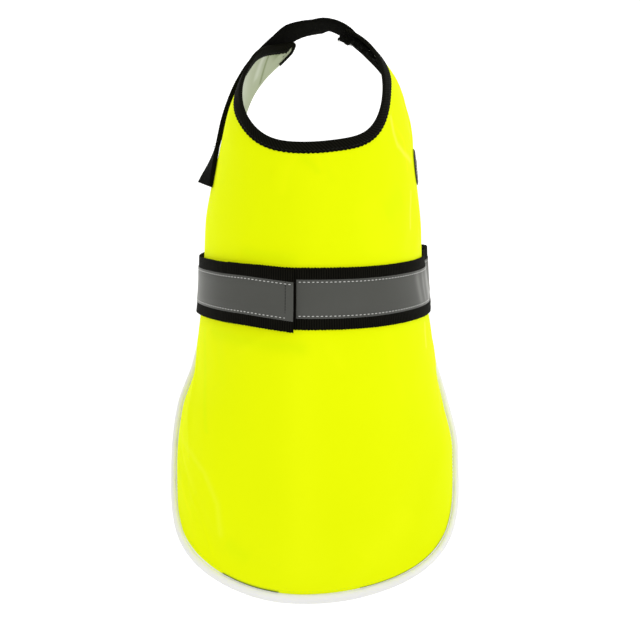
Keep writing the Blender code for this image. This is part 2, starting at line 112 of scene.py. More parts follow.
def along(table, column, where):
    x, y = table[:, 0], table[:, column]
    where = np.clip(np.asarray(where, float), x[0], x[-1])
    step = np.diff(x)
    rise = np.diff(y) / step
    slope = np.zeros_like(y)
    for i in range(1, len(x) - 1):
        if rise[i - 1] * rise[i] > 0.0:
            before, after = 2.0 * step[i] + step[i - 1], step[i] + 2.0 * step[i - 1]
            slope[i] = (before + after) / (before / rise[i - 1] + after / rise[i])
    slope[0], slope[-1] = rise[0], rise[-1]
    i = np.clip(np.searchsorted(x, where) - 1, 0, len(step) - 1)
    t = (where - x[i]) / step[i]
    return ((1.0 + 2.0 * t) * (1.0 - t) ** 2 * y[i] + t * (1.0 - t) ** 2 * step[i] * slope[i]
            + t * t * (3.0 - 2.0 * t) * y[i + 1] + t * t * (t - 1.0) * step[i] * slope[i + 1])


def unit(v):
    return v / np.maximum(np.linalg.norm(v, axis=-1, keepdims=True), 1e-9)


def body(station, angle):
    turn = np.radians(angle)
    lean = np.radians(along(bodyRows, 2, station))
    left = np.asarray(angle) < 0.0
    half = np.where(left, along(bodyRows, 3, station), along(bodyRows, 4, station))
    egg = np.where(left, along(bodyRows, 6, station), along(bodyRows, 7, station))
    swell = 1.0 + egg * np.cos(turn) + along(bodyRows, 8, station) * np.sin(2.0 * turn) ** 2
    down = 0.5 * along(bodyRows, 5, station) * (1.0 - np.cos(turn))
    height = along(bodyRows, 1, station) - down * np.cos(lean) + coat["solidThick"]
    return np.stack([half * np.sin(turn) * swell, station + down * np.sin(lean), height], axis=-1)


def outward(station, angle):
    ahead = body(station + 0.5, angle) - body(station - 0.5, angle)
    aside = body(station, angle + 0.5) - body(station, angle - 0.5)
    return unit(np.cross(aside, ahead))


def foldHeight(station, angle, folds):
    side = np.radians(angle) * along(bodyRows, 3, station)
    total = np.zeros_like(side)
    for s0, a0, s1, a1, width, height in folds:
        start = np.array([s0, math.radians(a0) * foldRadius])
        run = np.array([s1, math.radians(a1) * foldRadius]) - start
        t = ((station - start[0]) * run[0] + (side - start[1]) * run[1]) / run.dot(run)
        fade = np.clip(1.0 - np.abs(2.0 * t - 1.0) ** 3, 0.0, 1.0)
        near = np.clip(t, 0.0, 1.0)
        away = (station - start[0] - near * run[0]) ** 2 + (side - start[1] - near * run[1]) ** 2
        total = total + height * fade * np.exp(-away / width ** 2)
    return total


# small creases that only the cloth's own piece has

creases = {
    "sharp": [
        (-38.0, -74.0, -78.0, -72.0, 2.6, 0.45),      # line down the left flank
        (-78.0, -72.0, -124.0, -66.0, 3.0, 0.40),
        (-112.0, -82.0, -138.0, -70.0, 2.2, -0.45),   # hip crease on the left
        (-136.0, -71.0, -160.0, -58.0, 2.2, 0.40),
        (-158.0, -59.0, -196.0, -48.0, 2.6, 0.40),
        (-40.0, 80.0, -62.0, 84.0, 2.2, 0.45),        # right flank
        (-66.0, 88.0, -96.0, 86.0, 2.4, 0.40),
        (88.0, 68.0, 74.0, 72.0, 1.6, 0.45),          # right shoulder
        (74.0, 72.0, 62.0, 66.0, 1.6, 0.40),
        (52.0, 78.0, 30.0, 80.0, 2.2, 0.40),
        (90.0, -10.0, 66.0, -16.0, 2.8, 0.22),        # below the nape
        (91.0, 8.0, 74.0, 12.0, 3.4, -0.20),
        (30.0, -34.0, 22.0, -52.0, 3.2, -0.35),       # pulled in above the belt
        (28.0, -12.0, 22.0, -24.0, 3.0, -0.30),
        (-24.0, -20.0, -36.0, -34.0, 3.4, 0.30),      # below the belt
        (-24.0, 4.0, -44.0, 12.0, 4.0, 0.28),
        (-26.0, -50.0, -58.0, -44.0, 5.0, -0.30),
        (-26.0, 36.0, -70.0, 40.0, 6.0, 0.25),
    ],
    "broad": [
        (40.0, 0.0, 92.0, 2.0, 15.0, 0.45),
        (46.0, 58.0, 22.0, 50.0, 10.0, -0.55),
        (30.0, -60.0, 66.0, -58.0, 10.0, -0.5),
        (-60.0, 36.0, -150.0, 30.0, 18.0, 0.55),
        (-95.0, 62.0, -185.0, 40.0, 12.0, -0.6),
        (-70.0, -40.0, -160.0, -30.0, 14.0, -0.5),
        (-190.0, -26.0, -208.0, -14.0, 7.0, -0.55),
        (-186.0, 24.0, -206.0, 14.0, 8.0, 0.5),
        (60.0, 104.0, 82.0, 126.0, 7.0, 0.7),
        (96.5, 123.5, 84.5, 111.5, 6.5, 3.5),         # cloth beside the right shoulder's binding
        (50.0, -104.0, 76.0, -122.0, 7.0, 0.7),
        (20.0, 102.0, -30.0, 100.0, 9.0, -0.6),
        (20.0, -102.0, -30.0, -100.0, 9.0, -0.6),
    ],
}


# how the creases and the ripple fade out under the belt, at the neck edge and at the hem
fading = {
    "beltHalf": 19.0, "beltOver": 12.0, "neckAt": 92.0, "neckOver": 10.0, "hemAt": -210.0, "hemOver": 14.0,
    "hemLeast": 0.25,
}
ripples = {"height": 0.16, "radius": 85.0}
# share, then two waves, each by its pace along the body, its pace round it and its start
rippleRows = [
    (1.00, 0.061, 0.043, 1.1, -0.031, 0.071, 0.4),
    (0.55, 0.137, -0.093, 2.0, 0.0, 0.151, 0.9),
]


def ripple(station, angle):
    side = np.radians(angle) * ripples["radius"]
    return sum(share * np.sin(station * s0 + side * a0 + start0) * np.sin(station * s1 + side * a1 + start1)
               for share, s0, a0, start0, s1, a1, start1 in rippleRows)


def wear(station, angle):
    small = foldHeight(station, angle, creases["sharp"]) + foldHeight(station, angle, creases["broad"])
    beside = np.clip((np.abs(station) - fading["beltHalf"]) / fading["beltOver"], 0.0, 1.0)
    neck = np.clip((fading["neckAt"] - station) / fading["neckOver"], 0.0, 1.0)
    hem = np.clip((station - fading["hemAt"]) / fading["hemOver"], fading["hemLeast"], 1.0)
    return (small + ripples["height"] * ripple(station, angle)) * beside * neck * hem


def cloth(station, angle, lift, worn=0.0):
    station, angle = np.asarray(station, float), np.asarray(angle, float)
    height = foldHeight(station, angle, mainFolds) + lift
    if worn:
        height = height + worn * wear(station, angle)
    return body(station, angle) + outward(station, angle) * np.asarray(height)[..., None]


# meshes

def pieceFromMesh(name, bm, material, smooth=True):
    mesh = bpy.data.meshes.new(name)
    bm.to_mesh(mesh)
    bm.free()
    mesh.materials.append(material)
    if smooth:
        mesh.polygons.foreach_set("use_smooth", [True] * len(mesh.polygons))
    piece = bpy.data.objects.new(name, mesh)
    bpy.context.scene.collection.objects.link(piece)
    return piece


def bentGrid(columns, rows, place, measure):
    # a flat grid whose points are then carried to their places on the coat
    bm = bmesh.new()
    bmesh.ops.create_grid(bm, x_segments=columns, y_segments=rows, size=0.5)
    bm.verts.ensure_lookup_table()
    u = np.array([v.co.x for v in bm.verts]) + 0.5
    v = np.array([v.co.y for v in bm.verts]) + 0.5
    points = place(u, v) * mm
    flat = measure(u, v)
    for vert, point in zip(bm.verts, points):
        vert.co = point
    layer = bm.loops.layers.uv.new("flat")
    for face in bm.faces:
        for loop in face.loops:
            loop[layer].uv = flat[loop.vert.index]
    return bm


def tubeFromRings(rings):
    # rings of one size, first laid out as a grid, then welded along its length
    count, size = rings.shape[:2]
    around = np.concatenate([rings, rings[:, :1]], axis=1)
    lengths = np.concatenate([[0.0], np.cumsum(np.linalg.norm(np.diff(rings.mean(axis=1), axis=0), axis=1))])
    girth = np.concatenate([[0.0], np.cumsum(np.linalg.norm(np.diff(around[count // 2], axis=0), axis=1))])

    def place(u, v):
        return around[np.rint(u * (count - 1)).astype(int), np.rint(v * size).astype(int)]

    def measure(u, v):
        return np.stack([lengths[np.rint(u * (count - 1)).astype(int)],
                         girth[np.rint(v * size).astype(int)]], axis=-1) * mm

    bm = bentGrid(count - 1, size, place, measure)
    bmesh.ops.remove_doubles(bm, verts=bm.verts, dist=0.000001)
    bmesh.ops.holes_fill(bm, edges=bm.edges, sides=0)
    bmesh.ops.recalc_face_normals(bm, faces=bm.faces)
    if bm.calc_volume(signed=True) < 0.0:
        bmesh.ops.reverse_faces(bm, faces=bm.faces)
    return bm


def addWall(piece, thickness, offset):
    wall = piece.modifiers.new("wall", "SOLIDIFY")
    wall.thickness = thickness * mm
    wall.offset = offset
    wall.use_even_offset = False
    return wall


def smoothPath(rows, count):
    rows = np.asarray(rows, float)
    gaps = np.linalg.norm(np.diff(rows[:, :3], axis=0), axis=1)
    knots = np.concatenate([[0.0], np.cumsum(gaps)])
    where = np.linspace(0.0, knots[-1], count)
    slope = np.gradient(rows, knots, axis=0)
    i = np.clip(np.searchsorted(knots, where) - 1, 0, len(gaps) - 1)
    step, t = gaps[i][:, None], ((where - knots[i]) / gaps[i])[:, None]
    return ((1 + 2 * t) * (1 - t) ** 2 * rows[i] + t * (1 - t) ** 2 * step * slope[i]
            + t * t * (3 - 2 * t) * rows[i + 1] + t * t * (t - 1) * step * slope[i + 1])


def flatSpot(station, angle):
    # the same place on the cloth laid flat, in metres
    girth = np.radians(angle) * along(bodyRows, 3, station)
    spread = 0.25 * np.abs(girth) * np.clip((station - 40) / 60, 0, 1)
    return np.stack([girth, station + spread], axis=-1) * mm


# shader groups

def newGroup(name, inputs, outputs):
    group = bpy.data.node_groups.new(name, "ShaderNodeTree")
    for label, kind, value in inputs:
        socket = group.interface.new_socket(label, in_out="INPUT", socket_type="NodeSocket" + kind)
        if value is not None:
            socket.default_value = value
    for label, kind in outputs:
        group.interface.new_socket(label, in_out="OUTPUT", socket_type="NodeSocket" + kind)
    return group, group.nodes.new("NodeGroupInput"), group.nodes.new("NodeGroupOutput")


def mathNode(tree, kind, first, second=None):
    node = tree.nodes.new("ShaderNodeMath")
    node.operation = kind
    for i, value in enumerate((first, second)):
        if isinstance(value, (int, float)):
            node.inputs[i].default_value = value
        elif value is not None:
            tree.links.new(value, node.inputs[i])
    return node.outputs[0]


def ridged(tree, value):
    # rounded ridges, one for each whole step of the value
    return mathNode(tree, "ABSOLUTE", mathNode(tree, "SINE", mathNode(tree, "MULTIPLY", value, math.pi)))


def makeWeave():
    # plain weave: threads that go over and under one another
    group, enter, leave = newGroup("plainWeave", [("Place", "Vector", None), ("Threads", "Float", 1800.0)],
                                   [("Height", "Float"), ("Thread", "Float")])
    split = group.nodes.new("ShaderNodeSeparateXYZ")
    group.links.new(enter.outputs["Place"], split.inputs[0])
    x, y = (mathNode(group, "MULTIPLY", split.outputs[axis], enter.outputs["Threads"]) for axis in "XY")
    across, down = ridged(group, x), ridged(group, y)
    steps = mathNode(group, "ADD", mathNode(group, "FLOOR", x), mathNode(group, "FLOOR", y))
    odd = mathNode(group, "ABSOLUTE", mathNode(group, "MODULO", steps, 2.0))
    over = mathNode(group, "MULTIPLY", odd, across)
    under = mathNode(group, "MULTIPLY", mathNode(group, "SUBTRACT", 1.0, odd), down)
    group.links.new(mathNode(group, "ADD", over, under), leave.inputs["Height"])
    group.links.new(mathNode(group, "MULTIPLY", across, down), leave.inputs["Thread"])
    return group


def makeRibs():
    # cords at a slant: twill when turned, straight ribs when not
    group, enter, leave = newGroup("slantedRibs", [("Place", "Vector", None), ("Ribs", "Float", 800.0),
                                                   ("Slant", "Float", 1.0), ("Picks", "Float", 1600.0)],
                                   [("Height", "Float"), ("Rib", "Float")])
    split = group.nodes.new("ShaderNodeSeparateXYZ")
    group.links.new(enter.outputs["Place"], split.inputs[0])
    lean = mathNode(group, "MULTIPLY", split.outputs["Y"], enter.outputs["Slant"])
    u = mathNode(group, "MULTIPLY", mathNode(group, "ADD", split.outputs["X"], lean), enter.outputs["Ribs"])
    rib = ridged(group, u)
    v = mathNode(group, "MULTIPLY", split.outputs["Y"], enter.outputs["Picks"])
    v = mathNode(group, "ADD", v, mathNode(group, "MULTIPLY", mathNode(group, "FLOOR", u), 0.5))
    height = mathNode(group, "ADD", mathNode(group, "MULTIPLY", rib, 0.7),
                      mathNode(group, "MULTIPLY", ridged(group, v), 0.3))
    group.links.new(height, leave.inputs["Height"])
    group.links.new(rib, leave.inputs["Rib"])
    return group


def makeMottle():
    # soft uneven tone between two colours
    group, enter, leave = newGroup("mottle", [("Place", "Vector", None), ("Scale", "Float", 20.0),
                                              ("Low", "Color", (0.4, 0.4, 0.4, 1.0)),
                                              ("High", "Color", (0.6, 0.6, 0.6, 1.0))], [("Colour", "Color")])
    noise = group.nodes.new("ShaderNodeTexNoise")
    noise.inputs["Detail"].default_value = 4.0
    mix = group.nodes.new("ShaderNodeMix")
    mix.data_type = "RGBA"
    for label, socket in (("Place", noise.inputs["Vector"]), ("Scale", noise.inputs["Scale"]),
                          ("Low", mix.inputs["A"]), ("High", mix.inputs["B"])):
        group.links.new(enter.outputs[label], socket)
    group.links.new(noise.outputs["Fac"], mix.inputs["Factor"])
    group.links.new(mix.outputs["Result"], leave.inputs["Colour"])
    return group


def makeStroke():
    # a soft mark along a straight run, fading at both ends
    group, enter, leave = newGroup("softStroke", [("Place", "Vector", None), ("Start", "Vector", (0, 0, 0)),
                                                  ("Run", "Vector", (1, 0, 0)), ("Length", "Float", 0.01),
                                                  ("Width", "Float", 0.001), ("Amount", "Float", 1.0),
                                                  ("Fade", "Float", 0.8)], [("Mask", "Float")])

    def vectorNode(kind, first, second, out="Vector"):
        node = group.nodes.new("ShaderNodeVectorMath")
        node.operation = kind
        group.links.new(first, node.inputs[0])
        if second is not None:
            group.links.new(second, node.inputs["Scale" if kind == "SCALE" else 1])
        return node.outputs[out]

    apart = vectorNode("SUBTRACT", enter.outputs["Place"], enter.outputs["Start"])
    far = vectorNode("DOT_PRODUCT", apart, enter.outputs["Run"], "Value")
    far = mathNode(group, "MINIMUM", mathNode(group, "MAXIMUM", far, 0.0), enter.outputs["Length"])
    near = vectorNode("SCALE", enter.outputs["Run"], far)
    away = vectorNode("LENGTH", vectorNode("SUBTRACT", apart, near), None, "Value")
    share = mathNode(group, "DIVIDE", away, enter.outputs["Width"])
    square = mathNode(group, "MULTIPLY", share, share)
    bell = mathNode(group, "EXPONENT", mathNode(group, "MULTIPLY", square, -1.0))
    part = mathNode(group, "MULTIPLY", mathNode(group, "DIVIDE", far, enter.outputs["Length"]), 2.0)
    part = mathNode(group, "POWER", mathNode(group, "ABSOLUTE", mathNode(group, "SUBTRACT", part, 1.0)), 6.0)
    fade = mathNode(group, "SUBTRACT", 1.0, mathNode(group, "MULTIPLY", part, enter.outputs["Fade"]))
    mask = mathNode(group, "MULTIPLY", mathNode(group, "MULTIPLY", bell, fade), enter.outputs["Amount"])
    group.links.new(mask, leave.inputs["Mask"])
    return group


groups = {"weave": makeWeave(), "ribs": makeRibs(), "mottle": makeMottle(), "stroke": makeStroke()}


def place(tree, group, source, **values):
    node = tree.nodes.new("ShaderNodeGroup")
    node.node_tree = groups[group]
    tree.links.new(source, node.inputs["Place"])
    for label, value in values.items():
        node.inputs[label].default_value = value
    return node


finishes = {
    "yellow": {"rough": 0.75, "specular": 0.05, "scale": 9.0, "threads": 2000.0, "glow": 0.24,
               "crumple": 90.0, "gap": (0.93, 0.955, 0.93, 1),
               "low": (0.765, 0.865, 0.0, 1), "high": (0.835, 0.925, 0.0, 1),
               # painted light and shade: the glow and light marks are painted highlights, the dark marks
               # painted shade along folds and beside the belt
               "marks": (("glow", (0.870, 0.965, 0.004, 1)), ("light", (0.90, 1.0, 0.10, 1)),
                         ("paintedShade", (0.690, 0.820, 0.0, 1)), ("seamShadow", (0.045, 0.085, 0.015, 1)))},
    "lining": {"rough": 0.8, "specular": 0.08, "scale": 14.0, "threads": 2600.0,
               "low": (0.44, 0.50, 0.32, 1), "high": (0.62, 0.65, 0.50, 1),
               "marks": (("light", (0.74, 0.77, 0.66, 1)), ("paintedShade", (0.26, 0.31, 0.16, 1)))},
    "binding": {"rough": 0.75, "specular": 0.02, "ribs": 430.0, "slant": 1.0, "depth": 0.00022,
                "low": (0.0, 0.0, 0.0, 1), "high": (0.0095, 0.0093, 0.0060, 1)},
    "webbing": {"rough": 0.7, "specular": 0.02, "ribs": 640.0, "slant": 0.0, "depth": 0.00030,
                "low": (0.0, 0.0, 0.0, 1), "high": (0.0095, 0.0090, 0.0065, 1)},
    "uneven": {"scale": 160.0, "low": (0.75, 0.75, 0.75, 1), "high": (1.35, 1.35, 1.3, 1)},
    "tape": {"rough": 0.55, "specular": 0.2, "scale": 26.0, "beads": 5200.0, "grazingSheenPower": 6.0,
             "low": (0.077, 0.079, 0.069, 1), "high": (0.098, 0.099, 0.089, 1),
             # edge is a painted reflection: the colour the tape turns where it is seen at a slant
             "edge": (0.40, 0.40, 0.375, 1)},
    "tube": {"rough": 0.32, "specular": 0.4, "scale": 30.0, "rings": 240.0, "glow": 0.07,
             "light": (0.94, 0.95, 0.88, 1), "low": (0.82, 0.82, 0.80, 1), "high": (0.87, 0.868, 0.865, 1)},
    "hooks": {"rough": 0.9, "specular": 0.04, "scale": 900.0, "loops": 1500.0,
              "low": (0.0008, 0.0008, 0.0006, 1), "high": (0.0085, 0.0085, 0.0065, 1)},
    "patch": {"rough": 0.45, "specular": 0.4, "scale": 300.0, "grain": 1600.0,
              "low": (0.004, 0.004, 0.004, 1), "high": (0.016, 0.016, 0.016, 1)},
    "whiteThread": {"rough": 0.6, "specular": 0.3, "scale": 700.0, "low": (0.64, 0.64, 0.616, 1),
                    "high": (0.80, 0.80, 0.77, 1)},
    "blackThread": {"rough": 0.6, "specular": 0.3, "scale": 700.0, "low": (0.0048, 0.0048, 0.0048, 1),
                    "high": (0.006, 0.006, 0.006, 1)},
    "yellowThread": {"rough": 0.6, "specular": 0.3, "scale": 700.0, "low": (0.624, 0.72, 0.016, 1),
                     "high": (0.78, 0.90, 0.02, 1)},
    "floor": {"rough": 0.8, "specular": 0.1},
}


def startMaterial(name, look):
    material = bpy.data.materials.new(name)
    material.use_nodes = True
    tree = material.node_tree
    shader = tree.nodes["Principled BSDF"]
    shader.inputs["Roughness"].default_value = look["rough"]
    shader.inputs["Specular IOR Level"].default_value = look["specular"]
    coords = tree.nodes.new("ShaderNodeTexCoord")
    return material, tree, shader, coords


def addBump(tree, shader, height, distance, strength, before=None):
    bump = tree.nodes.new("ShaderNodeBump")
    bump.inputs["Distance"].default_value = distance
    bump.inputs["Strength"].default_value = strength
    tree.links.new(height, bump.inputs["Height"])
    if before is not None:
        tree.links.new(before, bump.inputs["Normal"])
    tree.links.new(bump.outputs["Normal"], shader.inputs["Normal"])
    return bump.outputs["Normal"]


def blendColour(tree, factor, low, high):
    mix = tree.nodes.new("ShaderNodeMix")
    mix.data_type = "RGBA"
    tree.links.new(factor, mix.inputs["Factor"])
    for socket, value in (("A", low), ("B", high)):
        if isinstance(value, tuple):
            mix.inputs[socket].default_value = value
        else:
            tree.links.new(value, mix.inputs[socket])
    return mix.outputs["Result"]


def multiplied(tree, first, second):
    mix = tree.nodes.new("ShaderNodeMix")
    mix.data_type = "RGBA"
    mix.blend_type = "MULTIPLY"
    mix.inputs["Factor"].default_value = 1.0
    tree.links.new(first, mix.inputs["A"])
    tree.links.new(second, mix.inputs["B"])
    return mix.outputs["Result"]


def mottled(tree, coords, look):
    values = {"Scale": look["scale"], "Low": look["low"], "High": look["high"]}
    return place(tree, "mottle", coords.outputs["Object"], **values).outputs["Colour"]


def texture(tree, kind, source, scale):
    node = tree.nodes.new(kind)
    node.inputs["Scale"].default_value = scale
    tree.links.new(source, node.inputs["Vector"])
    return node


# painted light and shade on the cloth: kind of mark, width in millimetres, strength, and its run by station
# and angle
clothMarks = [
    # painted highlights along creases; the glow marks below are broader, softer painted highlights
    ("light", 1.3, 0.42, [(86.5, 69.5), (80.8, 65.4), (75.2, 63.6), (69.5, 66.4), (63.0, 73.0)]),
    ("light", 1.1, 0.42, [(52.0, 64.9), (44.5, 61.4), (37.0, 59.6)]),
    ("light", 1.3, 0.45, [(-24.5, 67.4), (-32.0, 65.6), (-40.0, 65.0)]),
    ("light", 1.5, 0.40, [(-66.0, 90.0), (-74.0, 83.0), (-84.0, 76.0)]),
    ("light", 2.4, 0.10, [(-104.0, -76.0), (-114.0, -58.0), (-126.0, -47.0), (-147.2, -39.5),
                          (-170.0, -38.2)]),
    ("glow", 12.0, 0.18, [(-30.0, -4.9), (-100.8, -4.4), (-190.0, -3.6)]),
    ("glow", 15.0, 0.20, [(-150.0, 40.0), (-190.0, 20.0)]),
    ("glow", 12.0, 0.20, [(60.0, 30.0), (25.0, 34.0)]),
    # painted shade along folds, beside the belt, under the nape and down the flanks
    ("paintedShade", 2.6, 0.45, [(-28.5, -64.6), (-62.2, -59.1), (-94.5, -48.4)]),
    ("paintedShade", 5.5, 0.60, [(-28.0, -53.1), (-29.5, -26.9), (-31.8, -5.6)]),
    ("paintedShade", 4.5, 0.50, [(27.5, -37.1), (24.8, -5.8)]),
    ("paintedShade", 3.0, 0.45, [(89.0, -7.1), (78.2, 5.0)]),
    ("paintedShade", 7.0, 0.45, [(-175.8, -36.0), (-187.8, -24.6)]),
    ("paintedShade", 9.0, 0.40, [(47.5, 38.9), (55.0, 54.8)]),
    ("paintedShade", 6.0, 0.40, [(-60.0, -120.0), (30.0, -100.0)]),
    ("paintedShade", 6.0, 0.40, [(-60.0, 104.0), (30.0, 100.0)]),
    # a dark line at the edge seam: partly the seam's dark inside, partly painted shadow in the gap between
    # the cloth's edge and the light tube
    ("seamShadow", 1.2, 0.95, [(-203.0, -37.4), (-207.6, -30.5), (-210.6, -24.8), (-212.6, -20.4),
                         (-214.6, -14.1)]),
    ("seamShadow", 0.8, 0.80, [(-112.0, -83.8), (-120.0, -83.9)]),
    ("seamShadow", 0.8, 0.80, [(-142.2, -82.5), (-147.7, -81.2)]),
    ("seamShadow", 0.6, 0.75, [(-144.9, 82.0), (-158.8, 77.3), (-178.2, 65.4), (-189.6, 53.9), (-198.0, 43.2),
                         (-204.4, 32.8), (-208.7, 24.2), (-211.0, 18.3)]),
]
# each crease also paints shading on the cloth along its run, more on the flanks: a soft painted highlight on
# a ridge, painted shade in a trough
creaseShade = {"sharp": 0.55, "broad": 0.30, "flankFrom": 55.0, "flankOver": 30.0, "least": 0.25}
for kind in ("sharp", "broad"):
    share = creaseShade[kind]
    for s0, a0, s1, a1, width, height in creases[kind]:
        flank = (max(abs(a0), abs(a1)) - creaseShade["flankFrom"]) / creaseShade["flankOver"]
        flank = min(max(flank, creaseShade["least"]), 1.0)
        middle = (0.5 * (s0 + s1) + 0.03 * (a1 - a0), 0.5 * (a0 + a1) + 0.04 * (s1 - s0))
        clothMarks.append(("glow" if height > 0.0 else "paintedShade", 0.9 * width, share * flank,
                           [(s0, a0), middle, (s1, a1)]))
# painted light and shade inside the lining: a highlight and shade along the fold at the left wing's tip,
# shade down both flanks, and a lighter band along the spine
liningMarks = [
    ("paintedShade", 1.0, 0.80, [(96.0, -140.0), (88.0, -137.0), (76.0, -133.0)]),
    ("paintedShade", 3.2, 0.75, [(90.0, -144.0), (84.0, -147.0)]),
    ("light", 2.6, 0.80, [(95.0, -134.0), (78.0, -127.0)]),
    ("light", 9.0, 0.75, [(88.0, -108.0), (66.0, -112.0)]),
    ("paintedShade", 4.0, 0.50, [(-60.0, -96.0), (-150.0, -60.0)]),
    ("paintedShade", 4.0, 0.50, [(-60.0, 96.0), (-150.0, 60.0)]),
    ("light", 7.0, 0.50, [(60.0, 0.0), (-190.0, 0.0)]),
]


def markMasks(tree, source, marks):
    # the marks of each kind added up into one mask
    total = {}
    for kind, width, amount, run in marks:
        spots = [flatSpot(np.array(s), np.array(a)) for s, a in run]
        for first, second in zip(spots[:-1], spots[1:]):
            length = float(np.linalg.norm(second - first))
            ahead = (second - first) / length
            node = place(tree, "stroke", source, Start=(*first, 0.0), Run=(*ahead, 0.0), Length=length,
                         Width=width * mm, Amount=amount, Fade=0.8 if len(spots) == 2 else 0.0)
            mask = node.outputs["Mask"]
            total[kind] = mathNode(tree, "MAXIMUM", total[kind], mask) if kind in total else mask
    return total


def marked(tree, coords, colour, look, marks):
    masks = markMasks(tree, coords.outputs["UV"], marks)
    for kind, shade in look["marks"]:
        colour = blendColour(tree, masks[kind], colour, shade)
    return colour, masks


def yellowCloth():
    look = finishes["yellow"]
    material, tree, shader, coords = startMaterial("yellowCloth", look)
    weave = place(tree, "weave", coords.outputs["UV"], Threads=look["threads"])
    shade = blendColour(tree, weave.outputs["Thread"], look["gap"], (1.0, 1.0, 1.0, 1))
    colour = multiplied(tree, mottled(tree, coords, look), shade)
    colour, masks = marked(tree, coords, colour, look, clothMarks)
    tree.links.new(colour, shader.inputs["Base Color"])
    # the cloth's colour also glows: partly for the cloth's fluorescence, partly as painted light that evens
    # out the shading
    tree.links.new(colour, shader.inputs["Emission Color"])
    shader.inputs["Emission Strength"].default_value = look["glow"]
    crumple = texture(tree, "ShaderNodeTexNoise", coords.outputs["Object"], look["crumple"])
    crumple.inputs["Detail"].default_value = 3.0
    first = addBump(tree, shader, crumple.outputs["Fac"], 0.0005, 0.35)
    first = addBump(tree, shader, masks["light"], 0.0006, 0.6, first)
    addBump(tree, shader, weave.outputs["Height"], 0.00008, 0.6, first)
    return material


def liningCloth():
    look = finishes["lining"]
    material, tree, shader, coords = startMaterial("paleLining", look)
    weave = place(tree, "weave", coords.outputs["UV"], Threads=look["threads"])
    colour, masks = marked(tree, coords, mottled(tree, coords, look), look, liningMarks)
    tree.links.new(colour, shader.inputs["Base Color"])
    first = addBump(tree, shader, masks["light"], 0.0008, 0.6)
    addBump(tree, shader, weave.outputs["Height"], 0.00006, 0.5, first)
    return material


def blackTape(name, look):
    material, tree, shader, coords = startMaterial(name, look)
    ribs = place(tree, "ribs", coords.outputs["UV"], Ribs=look["ribs"], Slant=look["slant"],
                 Picks=2.0 * look["ribs"])
    colour = blendColour(tree, ribs.outputs["Rib"], look["low"], look["high"])
    colour = multiplied(tree, colour, mottled(tree, coords, finishes["uneven"]))
    tree.links.new(colour, shader.inputs["Base Color"])
    addBump(tree, shader, ribs.outputs["Height"], look["depth"], 0.9)
    return material


# painted highlights where the belt turns down the right flank, standing in for creases that catch the light:
# angle, lean, width, strength
paintedTapeHighlights = [(62.0, 2.0, 3.52, 0.45), (69.0, 1.0, 2.4, 0.80), (78.0, 0.5, 3.52, 0.9)]
paintedTapeHighlightEnds = (-12.0, 13.0)


def reflectiveTape():
    look = finishes["tape"]
    material, tree, shader, coords = startMaterial("greyReflective", look)
    # painted reflection: the tape's colour turns lighter where its surface is seen at a slant
    facing = tree.nodes.new("ShaderNodeLayerWeight")
    facing.inputs["Blend"].default_value = 0.5
    edge = mathNode(tree, "POWER", facing.outputs["Facing"], look["grazingSheenPower"])
    colour = blendColour(tree, edge, mottled(tree, coords, look), look["edge"])
    # painted highlight streaks in the colour of the painted reflection
    for angle, lean, width, amount in paintedTapeHighlights:
        first, last = (body(np.array(s), np.array(a)) * mm
                       for s, a in zip(paintedTapeHighlightEnds, (angle + lean, angle - lean)))
        length = float(np.linalg.norm(last - first))
        paintedHighlight = place(tree, "stroke", coords.outputs["Object"], Start=tuple(first),
                       Run=tuple((last - first) / length), Length=length, Width=width * mm, Amount=amount)
        colour = blendColour(tree, paintedHighlight.outputs["Mask"], colour, look["edge"])
    tree.links.new(colour, shader.inputs["Base Color"])
    beads = texture(tree, "ShaderNodeTexVoronoi", coords.outputs["UV"], look["beads"])
    addBump(tree, shader, beads.outputs["Distance"], 0.00004, 0.5)
    return material


def lightTube():
    look = finishes["tube"]
    material, tree, shader, coords = startMaterial("milkyTube", look)
    tree.links.new(mottled(tree, coords, look), shader.inputs["Base Color"])
    shader.inputs["Subsurface Weight"].default_value = 0.35
    shader.inputs["Subsurface Radius"].default_value = (0.004, 0.004, 0.003)
    shader.inputs["Subsurface Scale"].default_value = 1.0
    shader.inputs["Coat Weight"].default_value = 0.2
    # a faint painted glow that brightens the milky tube, standing in for light scattered through it
    shader.inputs["Emission Color"].default_value = look["light"]
    shader.inputs["Emission Strength"].default_value = look["glow"]
    rings = texture(tree, "ShaderNodeTexNoise", coords.outputs["Object"], look["rings"])
    addBump(tree, shader, rings.outputs["Fac"], 0.0002, 0.25)
    return material


def hookAndLoop():
    look = finishes["hooks"]
    material, tree, shader, coords = startMaterial("hookAndLoop", look)
    tree.links.new(mottled(tree, coords, look), shader.inputs["Base Color"])
    loops = texture(tree, "ShaderNodeTexVoronoi", coords.outputs["Object"], look["loops"])
    addBump(tree, shader, loops.outputs["Distance"], 0.0004, 0.9)
    return material


def thread(name):
    material, tree, shader, coords = startMaterial(name, finishes[name])
    tree.links.new(mottled(tree, coords, finishes[name]), shader.inputs["Base Color"])
    return material


def patchRubber():
    look = finishes["patch"]
    material, tree, shader, coords = startMaterial("blackPatch", look)
    tree.links.new(mottled(tree, coords, look), shader.inputs["Base Color"])
    grain = texture(tree, "ShaderNodeTexNoise", coords.outputs["Object"], look["grain"])
    addBump(tree, shader, grain.outputs["Fac"], 0.0001, 0.5)
    return material


paints = {
    "yellow": yellowCloth(),
    "lining": liningCloth(),
    "binding": blackTape("blackTwill", finishes["binding"]),
    "webbing": blackTape("blackWebbing", finishes["webbing"]),
    "tape": reflectiveTape(),
    "tube": lightTube(),
    "hooks": hookAndLoop(),
    "whiteThread": thread("whiteThread"),
    "blackThread": thread("blackThread"),
    "yellowThread": thread("yellowThread"),
    "patch": patchRubber(),
}
print("materials ready")


# coat panel and lining

